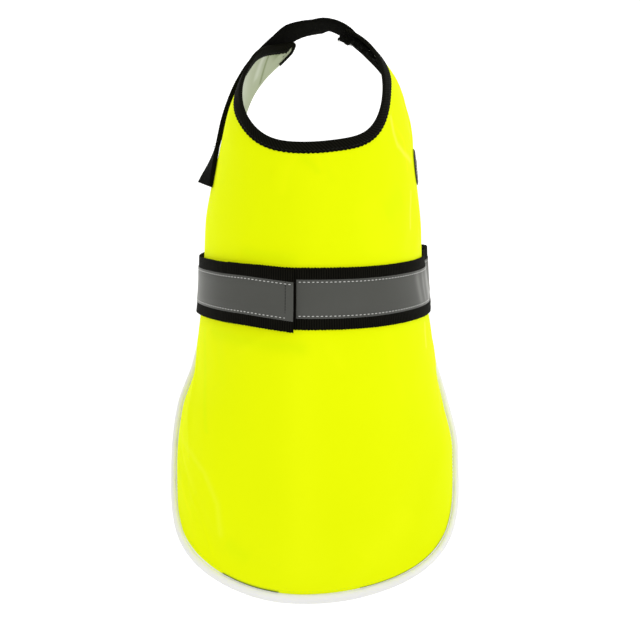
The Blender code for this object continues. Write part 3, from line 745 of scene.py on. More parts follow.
def panelPlace(u, v):
    # u runs from the left edge to the right one, v from the hem to the neck
    side = 2.0 * u - 1.0
    share = coat["rearRows"] / (coat["rearRows"] + coat["frontRows"])
    w = np.clip(1.0 - v / share, 0.0, 1.0)
    x = side * np.sqrt(1.0 - 0.5 * w * w)
    y = w * np.sqrt(1.0 - 0.5 * side * side)
    rearStation = coat["hemStart"] + y * (coat["hemStation"] - coat["hemStart"])
    corner = np.exp(-((x - coat["hemCornerAt"]) / coat["hemCornerWidth"]) ** 2)
    rearStation = rearStation - coat["hemCorner"] * y ** 3 * corner
    rearAngle = x * np.where(x < 0.0, reachRows[0, 1], reachRows[0, 2]) * along(hemRows, 1, y)
    t = np.clip((v - share) / (1.0 - share), 0.0, 1.0)
    t = t + coat["neckCrowd"] * t * (1.0 - t) * (1.0 + t)
    row = coat["hemStart"] + t * (bodyRows[-1, 0] - coat["hemStart"])
    reach = np.where(side < 0.0, along(reachRows, 1, row), along(reachRows, 2, row))
    frontAngle = side * reach
    close = np.clip((row - coat["neckFrom"]) / coat["neckOver"], 0.0, 1.0) ** 2
    tip = np.clip((np.abs(frontAngle) - coat["wingFrom"]) / coat["wingOver"], 0.0, 1.0)
    wingDrop = np.where(frontAngle < 0.0, coat["wingDropLeft"], coat["wingDropRight"])
    drop = wingDrop * tip * tip * (3.0 - 2.0 * tip)
    for middle, width, depth in neckCorners:
        drop = drop + depth * np.exp(-((frontAngle - middle) / width) ** 2)
    frontStation = row - close * drop
    rear = v < share
    return np.where(rear, rearStation, frontStation), np.where(rear, rearAngle, frontAngle)


def flatPlace(u, v):
    return flatSpot(*panelPlace(u, v))


def makeCloth(name, material, columns, rows, lift, wall, worn):
    bm = bentGrid(columns, rows, lambda u, v: cloth(*panelPlace(u, v), lift, worn), flatPlace)
    bmesh.ops.recalc_face_normals(bm, faces=bm.faces)
    top = max(bm.faces, key=lambda face: face.calc_center_median().z)
    if top.normal.z < 0.0:
        bmesh.ops.reverse_faces(bm, faces=bm.faces)
    piece = pieceFromMesh(name, bm, material)
    addWall(piece, wall, -1.0)
    return piece


outerCloth = makeCloth("outer_cloth", paints["yellow"], coat["columns"],
                       coat["rearRows"] + coat["frontRows"], 0.0, coat["wall"], 1.3)
innerCloth = makeCloth("inner_lining", paints["lining"], 110, 150, -coat["wall"] - coat["gap"],
                       coat["liningWall"], 1.3)
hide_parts("coat_panel")
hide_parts("lining")
print("cloth and lining ready")


# walks along the edge of the cloth

edgeEnds = {"hem": -24.0, "neck": 79.5, "far": 1000.0}


def sidePoints(column, first, count, low, high):
    v = np.linspace(first, 1.0, count)
    station, angle = panelPlace(np.full_like(v, column), v)
    return [(s, a) for s, a in zip(station, angle) if low < s < high]


def acrossPoints(u, row):
    return list(zip(*panelPlace(u, np.full_like(u, row))))


def edgeWalk(kind, count):
    # station and angle at even steps along one stretch of the edge
    if kind == "hem":
        left, right = (sidePoints(column, 0.0, 4000, -edgeEnds["far"], edgeEnds["hem"])
                       for column in (0.0, 1.0))
        points = left[::-1] + acrossPoints(np.linspace(0.0, 1.0, 2000), 0.0)[1:] + right[1:]
    elif kind == "neck":
        left, right = (sidePoints(column, 0.55, 5000, edgeEnds["neck"], edgeEnds["far"])
                       for column in (0.0, 1.0))
        points = right + acrossPoints(np.linspace(1.0, 0.0, 3000), 1.0)[1:] + left[::-1][1:]
    else:
        column = 0.0 if kind == "left" else 1.0
        points = sidePoints(column, 0.2, 5000, edgeEnds["hem"], edgeEnds["neck"] - 0.2)
    points = np.array(points)
    spots = body(points[:, 0], points[:, 1])
    length = np.concatenate([[0.0], np.cumsum(np.linalg.norm(np.diff(spots, axis=0), axis=1))])
    where = np.linspace(0.0, length[-1], count)
    return np.interp(where, length, points[:, 0]), np.interp(where, length, points[:, 1]), length[-1]


def edgeSteps(station, angle, flip=1.0):
    byS = body(station + 0.5, angle) - body(station - 0.5, angle)
    byA = body(station, angle + 0.5) - body(station, angle - 0.5)
    out = outward(station, angle)
    run = unit(np.gradient(body(station, angle), axis=0))
    away = flip * unit(np.cross(run, out))
    ss, sa, aa = (byS * byS).sum(-1), (byS * byA).sum(-1), (byA * byA).sum(-1)
    ws, wa = (byS * away).sum(-1), (byA * away).sum(-1)
    whole = ss * aa - sa * sa
    return (ws * aa - wa * sa) / whole, (wa * ss - ws * sa) / whole


def softened(values, width):
    # running mean that keeps both ends
    padded = np.concatenate([np.full(width, values[0]), values, np.full(width, values[-1])])
    kernel = np.hanning(2 * width + 1)
    return np.convolve(padded, kernel / kernel.sum(), mode="same")[width:-width]


def foldedTape(station, angle, steps, profile, jitter, narrow):
    # rings of a tape folded over the edge: each row is inward distance and lift
    rings = []
    for k, (inward, lift) in enumerate(profile):
        if inward >= 0.0:
            reach = (inward + jitter[k]) * (narrow if lift < -0.5 * coat["thick"] else 1.0)
            rings.append(cloth(station - reach * steps[0], angle - reach * steps[1], lift))
        else:
            edge = cloth(station, angle, lift)
            inner = cloth(station - 0.5 * steps[0], angle - 0.5 * steps[1], lift)
            rings.append(edge + unit(inner - edge) * inward)
    return np.stack(rings, axis=1)


binding = {
    "width": 6.4, "wall": 0.6, "gap": 0.12, "count": 700, "evenOver": 16,
    "wander": 0.22, "wanderSteps": 24, "jag": 0.30, "jagPitch": 2.9,
    "narrowFrom": 24.0, "narrowTo": 14.0, "narrow": 0.28,
}


def bindingProfile():
    # first the side that lies on the cloth, then the rounded outer side, as inward distance and lift
    over, under = binding["gap"], -coat["thick"] - binding["gap"]
    wall, width = binding["wall"], binding["width"]
    reach = -binding["gap"]
    outer = [(width, over), (0.5 * width, over), (reach, over),
             (reach, under), (0.5 * width, under), (width, under)]
    back = [(width + 0.12, under - 0.5 * wall), (width - 0.1, under - wall), (0.5 * width, under - wall),
            (1.2, under - wall), (0.1, under - wall), (reach - 0.55 * wall, under - 0.72 * wall),
            (reach - 0.95 * wall, under + 0.2), (reach - wall, -0.5 * coat["thick"]),
            (reach - 0.95 * wall, over - 0.2), (reach - 0.55 * wall, over + 0.72 * wall),
            (0.1, over + wall), (1.2, over + wall), (0.5 * width, over + wall), (width - 0.1, over + wall),
            (width + 0.12, over + 0.5 * wall)]
    return outer + back


def makeBinding():
    rng = np.random.default_rng(7)
    station, angle, length = edgeWalk("neck", binding["count"])
    steps = [softened(step, binding["evenOver"]) for step in edgeSteps(station, angle)]
    profile = bindingProfile()
    # the tape's edge wanders a little, and its weave makes it finely jagged
    count, turns = binding["count"], binding["wanderSteps"]
    wander = np.interp(np.arange(count), np.linspace(0, count, turns), rng.normal(size=turns))
    wander = binding["wander"] * wander
    alongTape = np.linspace(0.0, length, count)
    jag = np.sin(alongTape / binding["jagPitch"] * 2.0 * math.pi) * rng.uniform(0.3, 1.0, count)
    jag = binding["jag"] * jag
    jitter = [(wander + jag) if inward > 0.9 * binding["width"] else 0.0 * jag for inward, lift in profile]
    narrow = np.interp(alongTape, [length - binding["narrowFrom"], length - binding["narrowTo"]],
                       [1.0, binding["narrow"]])
    rings = foldedTape(station, angle, steps, profile, jitter, narrow)
    piece = pieceFromMesh("neck_tape", tubeFromRings(rings), paints["binding"])
    return piece, (station, angle, steps)


neckTape, neckWalk = makeBinding()
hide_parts("neck_binding")


def sideWalk(kind, count=160):
    station, angle = edgeWalk(kind, count)[:2]
    return station, angle, edgeSteps(station, angle, -1.0 if kind == "left" else 1.0)


leftWalk, rightWalk = sideWalk("left"), sideWalk("right")
print("edges ready")


# light tube round the hem

tube = {
    "count": 320, "around": 20, "clear": 0.45, "raise": 0.9, "flangeIn": 4.0, "flangeRoot": 0.4,
    "flangeTop": -1.10, "flangeUnder": -1.20, "flangeReach": 0.8, "flangeHalf": 0.25,
}
tubeWobble = [(0.12, 61.0, 0.0), (0.10, 37.0, 1.0)]
# share of the walk, half width, half thickness, how far it is turned outward
tubeRows = np.array([
    (0.00, 2.3, 2.1, 50.0), (0.22, 2.3, 2.1, 58.0), (0.32, 2.4, 2.1, 52.0), (0.42, 3.4, 2.2, 24.0),
    (0.50, 3.9, 2.2, 12.0), (0.58, 3.3, 2.2, 24.0), (0.68, 2.4, 2.1, 50.0), (0.78, 2.3, 2.1, 58.0),
    (1.00, 2.3, 2.1, 50.0),
])


def makeTube():
    station, angle = edgeWalk("hem", tube["count"])[:2]
    steps = edgeSteps(station, angle)
    middle = -0.5 * coat["thick"]
    edge = cloth(station, angle, middle)
    inner = cloth(station - 0.5 * steps[0], angle - 0.5 * steps[1], middle)
    away, up = -unit(inner - edge), outward(station, angle)
    walk = np.linspace(0.0, 1.0, tube["count"])
    wide, thick = along(tubeRows, 1, walk)[:, None], along(tubeRows, 2, walk)[:, None]
    turned = np.radians(along(tubeRows, 3, walk))[:, None]
    out = away * np.cos(turned) + up * np.sin(turned)
    across = up * np.cos(turned) - away * np.sin(turned)
    wobble = sum(size * np.sin(walk * pace + start) for size, pace, start in tubeWobble)[:, None]
    centre = edge + out * (wide + tube["clear"] + tube["raise"] * np.sin(turned) + wobble)
    rings = []
    for k in range(tube["around"]):
        turn = 2.0 * math.pi * k / tube["around"]
        rings.append(centre + out * wide * math.cos(turn) + across * thick * math.sin(turn))
    piece = pieceFromMesh("light_tube", tubeFromRings(np.stack(rings, axis=1)), paints["tube"])
    # the flange that is sewn between the outer cloth and the lining
    flange = []
    top, under = tube["flangeTop"], tube["flangeUnder"]
    for inward, lift in ((tube["flangeIn"], top), (tube["flangeRoot"], top),
                         (tube["flangeRoot"], under), (tube["flangeIn"], under)):
        flange.append(cloth(station - inward * steps[0], angle - inward * steps[1], lift))
    reach = centre - out * (wide - tube["flangeReach"])
    flange.insert(2, reach - across * tube["flangeHalf"])
    flange.insert(2, reach + across * tube["flangeHalf"])
    lip = pieceFromMesh("tube_flange", tubeFromRings(np.stack(flange, axis=1)), paints["tube"])
    return piece, lip, (station, angle, steps)


lightTubePiece, tubeFlange, hemWalk = makeTube()
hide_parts("hem_light_trim")
print("light tube ready")


# belt

belt = {
    "width": 40.0, "wall": 1.4, "tapeWidth": 25.0, "tapeGap": 0.12, "tapeWall": 0.28,
    "underEnd": -44.0, "overEnd": 351.9, "tapeStart": -7.3, "count": 1100, "underStand": 0.45,
    "wave": 0.21, "wavePitch": 2.05, "waveRough": 0.35, "webbingSoft": 0.3, "tapeSoft": 0.12,
    "peel": 0.5, "peelOver": 9.0, "straightFrom": 112.0, "straightOver": 34.0,
    "stitchPitch": 2.85, "stitchIn": 1.6, "stitchLong": 2.0, "stitchWide": 0.62, "stitchHigh": 0.42,
    "seamHalf": 12.4, "seamIn": 3.6, "seamPitch": 1.9, "seamLong": 2.2, "seamWide": 0.55, "seamHigh": 0.35,
}
# angle round the body, distance off the cloth
standOffRows = np.array([
    (-60.0, 0.45), (0.0, 0.45), (40.0, 0.45), (62.0, 0.60), (80.0, 0.90), (92.0, 3.20), (104.0, 8.60),
    (116.0, 11.00), (132.0, 9.50), (155.0, -1.00), (180.0, -9.00), (210.0, -6.50), (236.0, 0.60),
    (252.0, 2.80), (268.0, 2.35), (285.0, 2.10), (300.0, 2.40), (316.0, 3.20), (330.0, 3.40), (360.0, 3.40),
])
# angle round the body, how far the belt runs forward of its middle
beltRise = np.array([
    (-60.0, 1.3), (-44.0, 1.4), (-26.0, 1.1), (-9.0, 0.0), (20.0, 0.0), (55.0, 0.7), (80.0, 1.2), (96.0, 2.4),
    (112.0, 3.6), (140.0, 3.6), (180.0, 2.8), (230.0, 1.6), (270.0, 0.6), (283.0, 0.9), (305.0, 1.5),
    (326.0, 1.4), (340.0, 0.2), (352.0, -1.5),
])
# angle round the body, how much closer its forward edge lies
beltLean = np.array([
    (-60.0, 0.0), (55.0, 0.0), (78.0, 0.35), (90.0, 2.6), (97.0, 4.3), (104.0, 1.6), (111.0, 0.0),
    (360.0, 0.0),
])


def beltPoint(station, angle, lift):
    angle = np.asarray(angle, float)
    near = along(beltLean, 1, angle) * np.clip((station + 20.0) / 40.0, 0.0, 1.0)
    stand = np.where(angle < belt["underEnd"], belt["underStand"], along(standOffRows, 1, angle)) - near
    station = station + along(beltRise, 1, angle)
    wrapped = np.where(angle > 180.0, angle - 360.0, angle)
    blend = np.clip((belt["straightFrom"] - np.abs(wrapped)) / belt["straightOver"], 0.0, 1.0)[..., None]
    straight = body(np.zeros_like(angle), wrapped)
    straight[..., 1] = station
    spot = blend * body(station, wrapped) + (1.0 - blend) * straight
    normal = unit(blend * outward(station, wrapped) + (1.0 - blend) * outward(np.zeros_like(angle), wrapped))
    return spot + normal * (stand + lift)[..., None]


def beltStrip(name, material, start, end, width, low, high, edgeWave, soft):
    count = belt["count"]
    angles = np.linspace(start, end, count)
    middle = beltPoint(0.0, angles, 0.0 * angles)
    length = np.concatenate([[0.0], np.cumsum(np.linalg.norm(np.diff(middle, axis=0), axis=1))])
    half = 0.5 * width
    rng = np.random.default_rng(11)
    wave = np.sin(length * 2.0 * math.pi / belt["wavePitch"]) + belt["waveRough"] * rng.normal(size=count)
    wave = edgeWave * wave
    across = [-half, -half + soft, -0.45 * half, 0.0, 0.45 * half, half - soft, half]
    lifts = [0.5 * (low + high), high, high, high, high, high, 0.5 * (low + high)]
    rings = []
    lastPart = np.clip((angles - (end - belt["peelOver"])) / belt["peelOver"], 0.0, 1.0)
    for s, lift in list(zip(across, lifts)) + [(s, low) for s in across[-2:0:-1]]:
        push = wave * np.sign(s) * (abs(s) > half - 0.01)
        lowerCorner = belt["peel"] * lastPart ** 2 * max(0.0, -s / half) ** 2
        rings.append(beltPoint(s + push, angles, lift + lowerCorner))
    return pieceFromMesh(name, tubeFromRings(np.stack(rings, axis=1)), material)


webbing = beltStrip("belt_strap", paints["webbing"], belt["underEnd"], belt["overEnd"],
                    belt["width"], 0.0, belt["wall"], belt["wave"], belt["webbingSoft"])
tapeLow = belt["wall"] + belt["tapeGap"]
tape = beltStrip("reflective_strip", paints["tape"], belt["tapeStart"], belt["overEnd"] - 0.1,
                 belt["tapeWidth"], tapeLow, tapeLow + belt["tapeWall"], 0.0, belt["tapeSoft"])
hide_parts("belt_webbing")
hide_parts("belt_reflective_tape")
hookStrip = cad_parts["belt_hook_strip"]
for holder in hookStrip.material_slots:
    holder.material = paints["hooks"]
print("belt ready")


# neck strap and the hook tape in the right wing

strap = {
    "width": 19.0, "wall": 1.9, "count": 260, "hairs": 1500, "endExtra": 1.2, "wave": 0.10, "lump": 0.05,
    "taperAt": (0.0, 0.10, 0.17, 0.21), "taperFront": (0.45, 1.0, 1.0, 1.0),
    "taperRear": (0.1, 0.35, 0.55, 1.0),
}
# station, angle, distance off the body, twist
strapRows = np.array([
    (85.0, 144.5, 2.6, 0.0), (86.4, 149.0, 2.7, 0.0), (89.0, 154.5, 2.9, -4.0),
    (92.8, 162.0, 3.4, -12.0), (94.4, 170.0, 3.6, -23.0), (93.4, 180.0, 3.2, -27.0),
    (92.6, 190.5, 3.6, -21.0),
    (91.0, 201.0, 4.5, -10.0), (88.0, 213.0, 3.6, -3.0), (85.0, 226.0, 3.0, 0.0), (83.0, 239.0, 2.6, 0.0),
    (80.5, 251.0, 2.5, 0.0), (75.0, 262.0, 2.5, 0.0), (67.0, 270.5, 2.4, 0.0), (59.0, 276.3, 2.9, -7.0),
    (50.5, 280.0, 5.0, -24.0),
])
hookTape = {
    "width": 10.0, "wall": 1.5, "count": 90, "hooks": 900, "endExtra": 0.0, "wave": 0.42, "lump": 0.55,
    "taperAt": (0.0, 1.0), "taperFront": (1.0, 1.0), "taperRear": (1.0, 1.0),
}
hookTapeRows = np.array([
    (92.6, 118.0, -3.2, 0.0), (92.7, 127.0, -3.2, 0.0), (93.0, 136.0, -3.3, 0.0), (93.6, 144.0, -3.7, -3.0),
    (94.6, 150.0, -5.2, -8.0), (96.2, 154.0, -7.4, -14.0),
])


def strapFrame(rows, count):
    angle = np.where(rows[:, 1] > 180.0, rows[:, 1] - 360.0, rows[:, 1])
    out = outward(rows[:, 0], angle)
    spots = body(rows[:, 0], angle) + out * rows[:, 2:3]
    path = smoothPath(np.hstack([spots, out, rows[:, 3:4]]), count)
    centre = path[:, :3]
    run = unit(np.gradient(centre, axis=0))
    out = unit(path[:, 3:6] - run * (path[:, 3:6] * run).sum(axis=1, keepdims=True))
    twist = np.radians(path[:, 6:7])
    wide = np.cross(out, run) * np.cos(twist) + out * np.sin(twist)
    return centre, run, wide, np.cross(run, wide)


def strapBand(name, rows, values, material):
    centre, run, wide, out = strapFrame(rows, values["count"])
    count = values["count"]
    rng = np.random.default_rng(5)
    half, wall = 0.5 * values["width"], 0.5 * values["wall"]
    t = np.linspace(0.0, 1.0, count)
    over = [(-0.985, 0.75), (-0.95, 1.0), (-0.5, 1.0), (0.0, 1.0), (0.5, 1.0), (0.95, 1.0), (0.985, 0.75)]
    outline = [(-1.0, 0.0)] + over + [(1.0, 0.0)] + [(w, -n) for w, n in over[::-1]]
    rings = []
    for w, n in outline:
        rough = values["wave"] * rng.normal(size=count) * (abs(w) > 0.9)
        bulge = values["lump"] * (np.sin(t * 31.0 + 3.0 * w) + 0.6 * np.sin(t * 57.0 + 1.3))
        thicker = min(n, 0.0) * np.interp(t, [0.76, 0.87, 1.0], [0.0, values["endExtra"], values["endExtra"]])
        taper = np.interp(t, values["taperAt"], values["taperRear"] if w < 0.0 else values["taperFront"])
        rings.append(centre + wide * (w * half * taper + rough * np.sign(w))[:, None]
                     + out * (n * wall + bulge + thicker)[:, None])
    piece = pieceFromMesh(name, tubeFromRings(np.stack(rings, axis=1)), material)
    return piece, (centre, run, wide, out)


def tuftMesh(name, spots, material, seed, height, thick):
    # very short hairs, each a three-sided cone leaning its own way
    rng = random.Random(seed)
    bm = bmesh.new()
    for spot, normal, run in spots:
        lean = Vector(normal) + Vector(run) * rng.uniform(-0.8, 0.8) + Vector(
            (rng.uniform(-0.5, 0.5), rng.uniform(-0.5, 0.5), rng.uniform(-0.5, 0.5)))
        lean.normalize()
        size = height * rng.uniform(0.5, 1.0)
        turn = lean.to_track_quat("Z", "Y").to_matrix().to_4x4()
        where = Vector(spot) * mm + lean * (0.4 * size * mm)
        bmesh.ops.create_cone(bm, cap_ends=True, segments=3, radius1=thick * mm, radius2=0.02 * mm,
                              depth=size * mm, matrix=Matrix.Translation(where) @ turn)
    bmesh.ops.recalc_face_normals(bm, faces=bm.faces)
    return pieceFromMesh(name, bm, material, smooth=False)


def fuzzSpots(frameRows, values, side, count, seed, start=0.0, end=1.0):
    centre, run, wide, out = frameRows
    rng = random.Random(seed)
    spots = []
    for k in range(count):
        i = int(rng.uniform(start, end) * (len(centre) - 1))
        w = rng.uniform(-0.5, 0.5) * values["width"]
        spots.append((centre[i] + wide[i] * w + out[i] * side * 0.5 * values["wall"], out[i] * side, run[i]))
    return spots


neckStrap, strapPath = strapBand("throat_strap", strapRows, strap, paints["hooks"])
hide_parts("neck_strap")
wingTape, wingTapePath = strapBand("wing_tip_hook_tape", hookTapeRows, hookTape, paints["hooks"])
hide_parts("wing_hook_tape")
strapFuzz = tuftMesh("strap_fuzz", fuzzSpots(strapPath, strap, -1.0, strap["hairs"], 3, 0.2, 1.0),
                     paints["hooks"], 4, 0.8, 0.09)
hookFuzz = tuftMesh("hook_bristles", fuzzSpots(wingTapePath, hookTape, -1.0, hookTape["hooks"], 8),
                    paints["hooks"], 9, 1.1, 0.12)
print("straps ready")


# patch on the right shoulder

patch = {
    "station": 57.5, "angle": 83.0, "length": 26.0, "stretch": 1.81, "height": 13.0, "lift": 0.35,
    "wall": 1.0, "dots": 26, "dotsAt": 0.72, "segments": 48, "rimAt": 0.9, "rimWidth": 0.06, "taper": 0.35,
}


def patchPlace(size, turn, lift):
    half = math.degrees(0.5 * patch["height"] / float(along(bodyRows, 4, patch["station"])))
    station = patch["station"] + 0.5 * patch["length"] / patch["stretch"] * size * np.cos(turn)
    angle = patch["angle"] + half * size * np.sin(turn) * (1.0 - patch["taper"] * np.cos(turn))
    return cloth(station, angle, lift)


def makePatch():
    # a round disc is opened out, rim and field first, then laid on the cloth
    bm = bmesh.new()
    bmesh.ops.create_circle(bm, cap_ends=True, cap_tris=True, segments=patch["segments"], radius=1.0)
    spokes = [edge for edge in bm.edges if not edge.is_boundary]
    bmesh.ops.subdivide_edges(bm, edges=spokes, cuts=7, use_grid_fill=True)
    side = bmesh.ops.extrude_face_region(bm, geom=list(bm.faces))
    for vert in [g for g in side["geom"] if isinstance(g, bmesh.types.BMVert)]:
        vert.co.z = 1.0
    for vert in bm.verts:
        size = min(1.0, math.hypot(vert.co.x, vert.co.y))
        turn = math.atan2(vert.co.y, vert.co.x)
        rim = math.exp(-((size - patch["rimAt"]) / patch["rimWidth"]) ** 2)
        top = patch["wall"] * (0.78 - 0.45 * size ** 8 + 0.28 * rim)
        lift = patch["lift"] + (top if vert.co.z > 0.5 else 0.0)
        vert.co = patchPlace(np.array(size), np.array(turn), np.array(lift)) * mm
    bmesh.ops.recalc_face_normals(bm, faces=bm.faces)
    return pieceFromMesh("shoulder_patch", bm, paints["patch"])


def makePatchDots():
    rng = random.Random(21)
    bm = bmesh.new()
    for k in range(patch["dots"]):
        turn = 2.0 * math.pi * k / patch["dots"]
        height = patch["lift"] + 0.80 * patch["wall"]
        spot = patchPlace(np.array(patch["dotsAt"]), np.array(turn), np.array(height)) * mm
        bmesh.ops.create_icosphere(bm, subdivisions=1, radius=rng.uniform(0.26, 0.36) * mm,
                                   matrix=Matrix.Translation(Vector(spot)))
    return pieceFromMesh("patch_dots", bm, paints["whiteThread"])


shoulderPatch = makePatch()
patchDots = makePatchDots()
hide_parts("side_patch")
print("patch ready")


# stitching

def stitchLine(bm, spots, normals, pitch, length, width, height, slant, wander, seed):
    # raised stitches at an even pitch along a line of points
    rng = random.Random(seed)
    run = np.concatenate([[0.0], np.cumsum(np.linalg.norm(np.diff(spots, axis=0), axis=1))])
    for where in np.arange(0.6 * pitch, run[-1] - 0.4 * pitch, pitch):
        ends = []
        for shift in (-0.5, 0.5):
            ends.append(np.array([np.interp(where + shift * length, run, spots[:, i]) for i in range(3)]))
        normal = unit(np.array([np.interp(where, run, normals[:, i]) for i in range(3)]))
        ahead = unit(ends[1] - ends[0])
        aside = unit(np.cross(normal, ahead))
        ahead = unit(ahead + aside * (slant + rng.uniform(-wander, wander)))
        aside = unit(np.cross(normal, ahead))
        spot = 0.5 * (ends[0] + ends[1])
        frameRows = Matrix((ahead, aside, normal)).transposed().to_4x4()
        shape = Matrix.Diagonal((0.5 * length * mm, 0.5 * width * mm, 0.5 * height * mm, 1.0))
        bmesh.ops.create_icosphere(bm, subdivisions=1, radius=1.0,
                                   matrix=Matrix.Translation(Vector(spot * mm)) @ frameRows @ shape)


def tapeStitches():
    bm = bmesh.new()
    angles = np.linspace(belt["tapeStart"] + 0.4, belt["overEnd"] - 0.6, 1400)
    for side in (-1.0, 1.0):
        s = side * (0.5 * belt["tapeWidth"] - belt["stitchIn"])
        spots = beltPoint(s, angles, tapeLow + 0.30 + 0.0 * angles)
        normals = beltPoint(s, angles, 2.0 + 0.0 * angles) - beltPoint(s, angles, 1.0 + 0.0 * angles)
        stitchLine(bm, spots, normals, belt["stitchPitch"], belt["stitchLong"], belt["stitchWide"],
                   belt["stitchHigh"], 0.03, 0.04, 31)
    return pieceFromMesh("tape_stitches", bm, paints["whiteThread"])


def crossStitches():
    # the dark seam across the belt where its end is folded over
    bm = bmesh.new()
    s = np.linspace(-belt["seamHalf"], belt["seamHalf"], 60)
    angle = np.full_like(s, belt["overEnd"] - belt["seamIn"])
    spots = beltPoint(s, angle, np.full_like(s, tapeLow + 0.26))
    normals = beltPoint(s, angle, np.full_like(s, 3.0)) - beltPoint(s, angle, np.full_like(s, 1.0))
    stitchLine(bm, spots, normals, belt["seamPitch"], belt["seamLong"], belt["seamWide"], belt["seamHigh"],
               0.0, 0.02, 33)
    return pieceFromMesh("belt_end_seam", bm, paints["blackThread"])


def walkStitches(name, walk, inward, lift, threadName, size, seed, under):
    station, angle, steps = walk
    pitch, length, width, height = size
    s, a = station - inward * steps[0], angle - inward * steps[1]
    keep = slice(sewing["skip"], -sewing["skip"])
    spots, normals = cloth(s, a, lift)[keep], outward(s, a)[keep]
    bm = bmesh.new()
    stitchLine(bm, spots, -normals if under else normals, pitch, length, width, height, 0.05, 0.05, seed)
    return pieceFromMesh(name, bm, paints[threadName])


# a stitch is pitch, length, width and height
sewing = {"skip": 6, "bindingIn": 4.7, "hemIn": 2.6, "sideIn": 4.6, "proud": 0.02,
          "bindingStitch": (2.9, 2.1, 0.45, 0.3), "plainStitch": (2.8, 2.0, 0.4, 0.3)}
bindingProud = binding["gap"] + binding["wall"] + sewing["proud"]
# name, walk, how far in, lift, thread, stitch, seed, on the inside
stitchRows = [
    ("binding_stitches", neckWalk, sewing["bindingIn"], bindingProud, "blackThread",
     sewing["bindingStitch"], 41, False),
    ("binding_stitches_inside", neckWalk, sewing["bindingIn"], -coat["thick"] - bindingProud, "blackThread",
     sewing["bindingStitch"], 42, True),
    ("hem_stitches", hemWalk, sewing["hemIn"], sewing["proud"], "yellowThread",
     sewing["plainStitch"], 43, False),
    ("hem_stitches_inside", hemWalk, sewing["hemIn"], -coat["thick"] - sewing["proud"], "yellowThread",
     sewing["plainStitch"], 44, True),
    ("left_edge_stitches", leftWalk, sewing["sideIn"], 0.0, "yellowThread", sewing["plainStitch"], 45, False),
    ("right_edge_stitches", rightWalk, sewing["sideIn"], 0.0, "yellowThread",
     sewing["plainStitch"], 46, False),
]
stitches = [tapeStitches(), crossStitches()] + [walkStitches(*row) for row in stitchRows]
print("stitching ready")


# loose threads

# share of the way along the strap, edge of it, length
looseThreads = {
    "thick": 0.15, "bend": 1.6, "sides": 5,
    "spots": [(0.60, 1, 2.6), (0.62, -1, 3.2), (0.645, 1, 2.2), (0.665, -1, 3.0),
              (0.845, -1, 3.4), (0.86, -1, 2.4), (0.875, 1, 2.8)],
}


def makeLooseThreads():
    rng = random.Random(12)
    bm = bmesh.new()
    centre, run, wide, out = strapPath
    for share, edge, reach in looseThreads["spots"]:
        i = int(share * (len(centre) - 1))
        start = centre[i] + wide[i] * 0.5 * strap["width"] * edge
        heading = unit(out[i] + run[i] * rng.uniform(-0.7, 0.7))
        bend = unit(np.cross(heading, run[i])) * rng.uniform(-1.4, 1.4)
        t = np.linspace(0.0, 1.0, 9)[:, None]
        path = start + heading * t * reach + bend * t * t * looseThreads["bend"]
        ahead = unit(np.gradient(path, axis=0))
        side = unit(np.cross(ahead, wide[i]))
        up = np.cross(side, ahead)
        radius = looseThreads["thick"] * (1.0 - 0.4 * t)
        turns = np.linspace(0.0, 2.0 * math.pi, looseThreads["sides"], endpoint=False)
        rings = np.stack([path + radius * (side * math.cos(q) + up * math.sin(q)) for q in turns], axis=1)
        one = tubeFromRings(rings)
        mesh = bpy.data.meshes.new("oneThread")
        one.to_mesh(mesh)
        one.free()
        bm.from_mesh(mesh)
        bpy.data.meshes.remove(mesh)
    return pieceFromMesh("loose_threads", bm, paints["blackThread"])


threads = makeLooseThreads()

for piece in [outerCloth, innerCloth, neckTape, lightTubePiece, tubeFlange, webbing, tape,
              neckStrap, wingTape, strapFuzz, hookFuzz, shoulderPatch, patchDots, threads] + stitches:
    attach(piece, "root")


# floor, light and camera

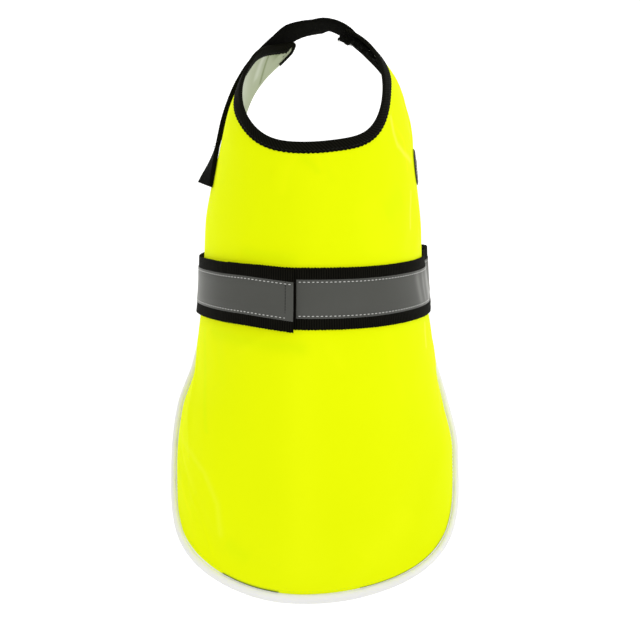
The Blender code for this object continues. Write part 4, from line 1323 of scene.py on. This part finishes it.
studio = {
    "floorHeight": -0.30,
    "floorHalf": 4.0,
    "floorGlow": 0.55,
    "world": 0.62,
    "aim": (0.0, -0.03, -0.05),
    "lamps": (("key", (0.75, 0.25, 1.05), 0.9, 4.8), ("fill", (-0.75, -0.65, 0.9), 1.2, 2.7)),
}
view = {
    "spot": (0.0047, 0.0782, 0.5613), "tilt": -9.0, "focalPixels": 888.9, "pixelsWide": 640.0, "sensor": 36.0,
}


def makeStudio():
    bm = bmesh.new()
    bmesh.ops.create_grid(bm, x_segments=2, y_segments=2, size=studio["floorHalf"],
                          matrix=Matrix.Translation((0.0, 0.0, studio["floorHeight"])))
    material, tree, shader, coords = startMaterial("whiteFloor", finishes["floor"])
    shader.inputs["Base Color"].default_value = (0.92, 0.92, 0.92, 1)
    shader.inputs["Emission Color"].default_value = (1, 1, 1, 1)
    shader.inputs["Emission Strength"].default_value = studio["floorGlow"]
    floor = pieceFromMesh("floor", bm, material, smooth=False)
    world = bpy.data.worlds.new("studio")
    bpy.context.scene.world = world
    world.use_nodes = True
    world.node_tree.nodes["Background"].inputs["Color"].default_value = (1, 1, 1, 1)
    world.node_tree.nodes["Background"].inputs["Strength"].default_value = studio["world"]
    for name, spot, size, power in studio["lamps"]:
        light = bpy.data.lights.new(name, "AREA")
        light.shape, light.size, light.energy = "SQUARE", size, power
        lamp = bpy.data.objects.new(name, light)
        lamp.location = spot
        lamp.rotation_euler = (Vector(studio["aim"]) - Vector(spot)).to_track_quat("-Z", "Y").to_euler()
        bpy.context.scene.collection.objects.link(lamp)


def makeCamera():
    data = bpy.data.cameras.new("camera")
    data.sensor_width = view["sensor"]
    data.lens = view["focalPixels"] / view["pixelsWide"] * view["sensor"]
    data.clip_end = 50.0
    camera = bpy.data.objects.new("camera", data)
    camera.location = view["spot"]
    camera.rotation_euler = (math.radians(view["tilt"]), 0.0, 0.0)
    bpy.context.scene.collection.objects.link(camera)
    bpy.context.scene.camera = camera


makeStudio()
makeCamera()
bpy.context.scene.view_settings.view_transform = "Standard"
print("studio ready")
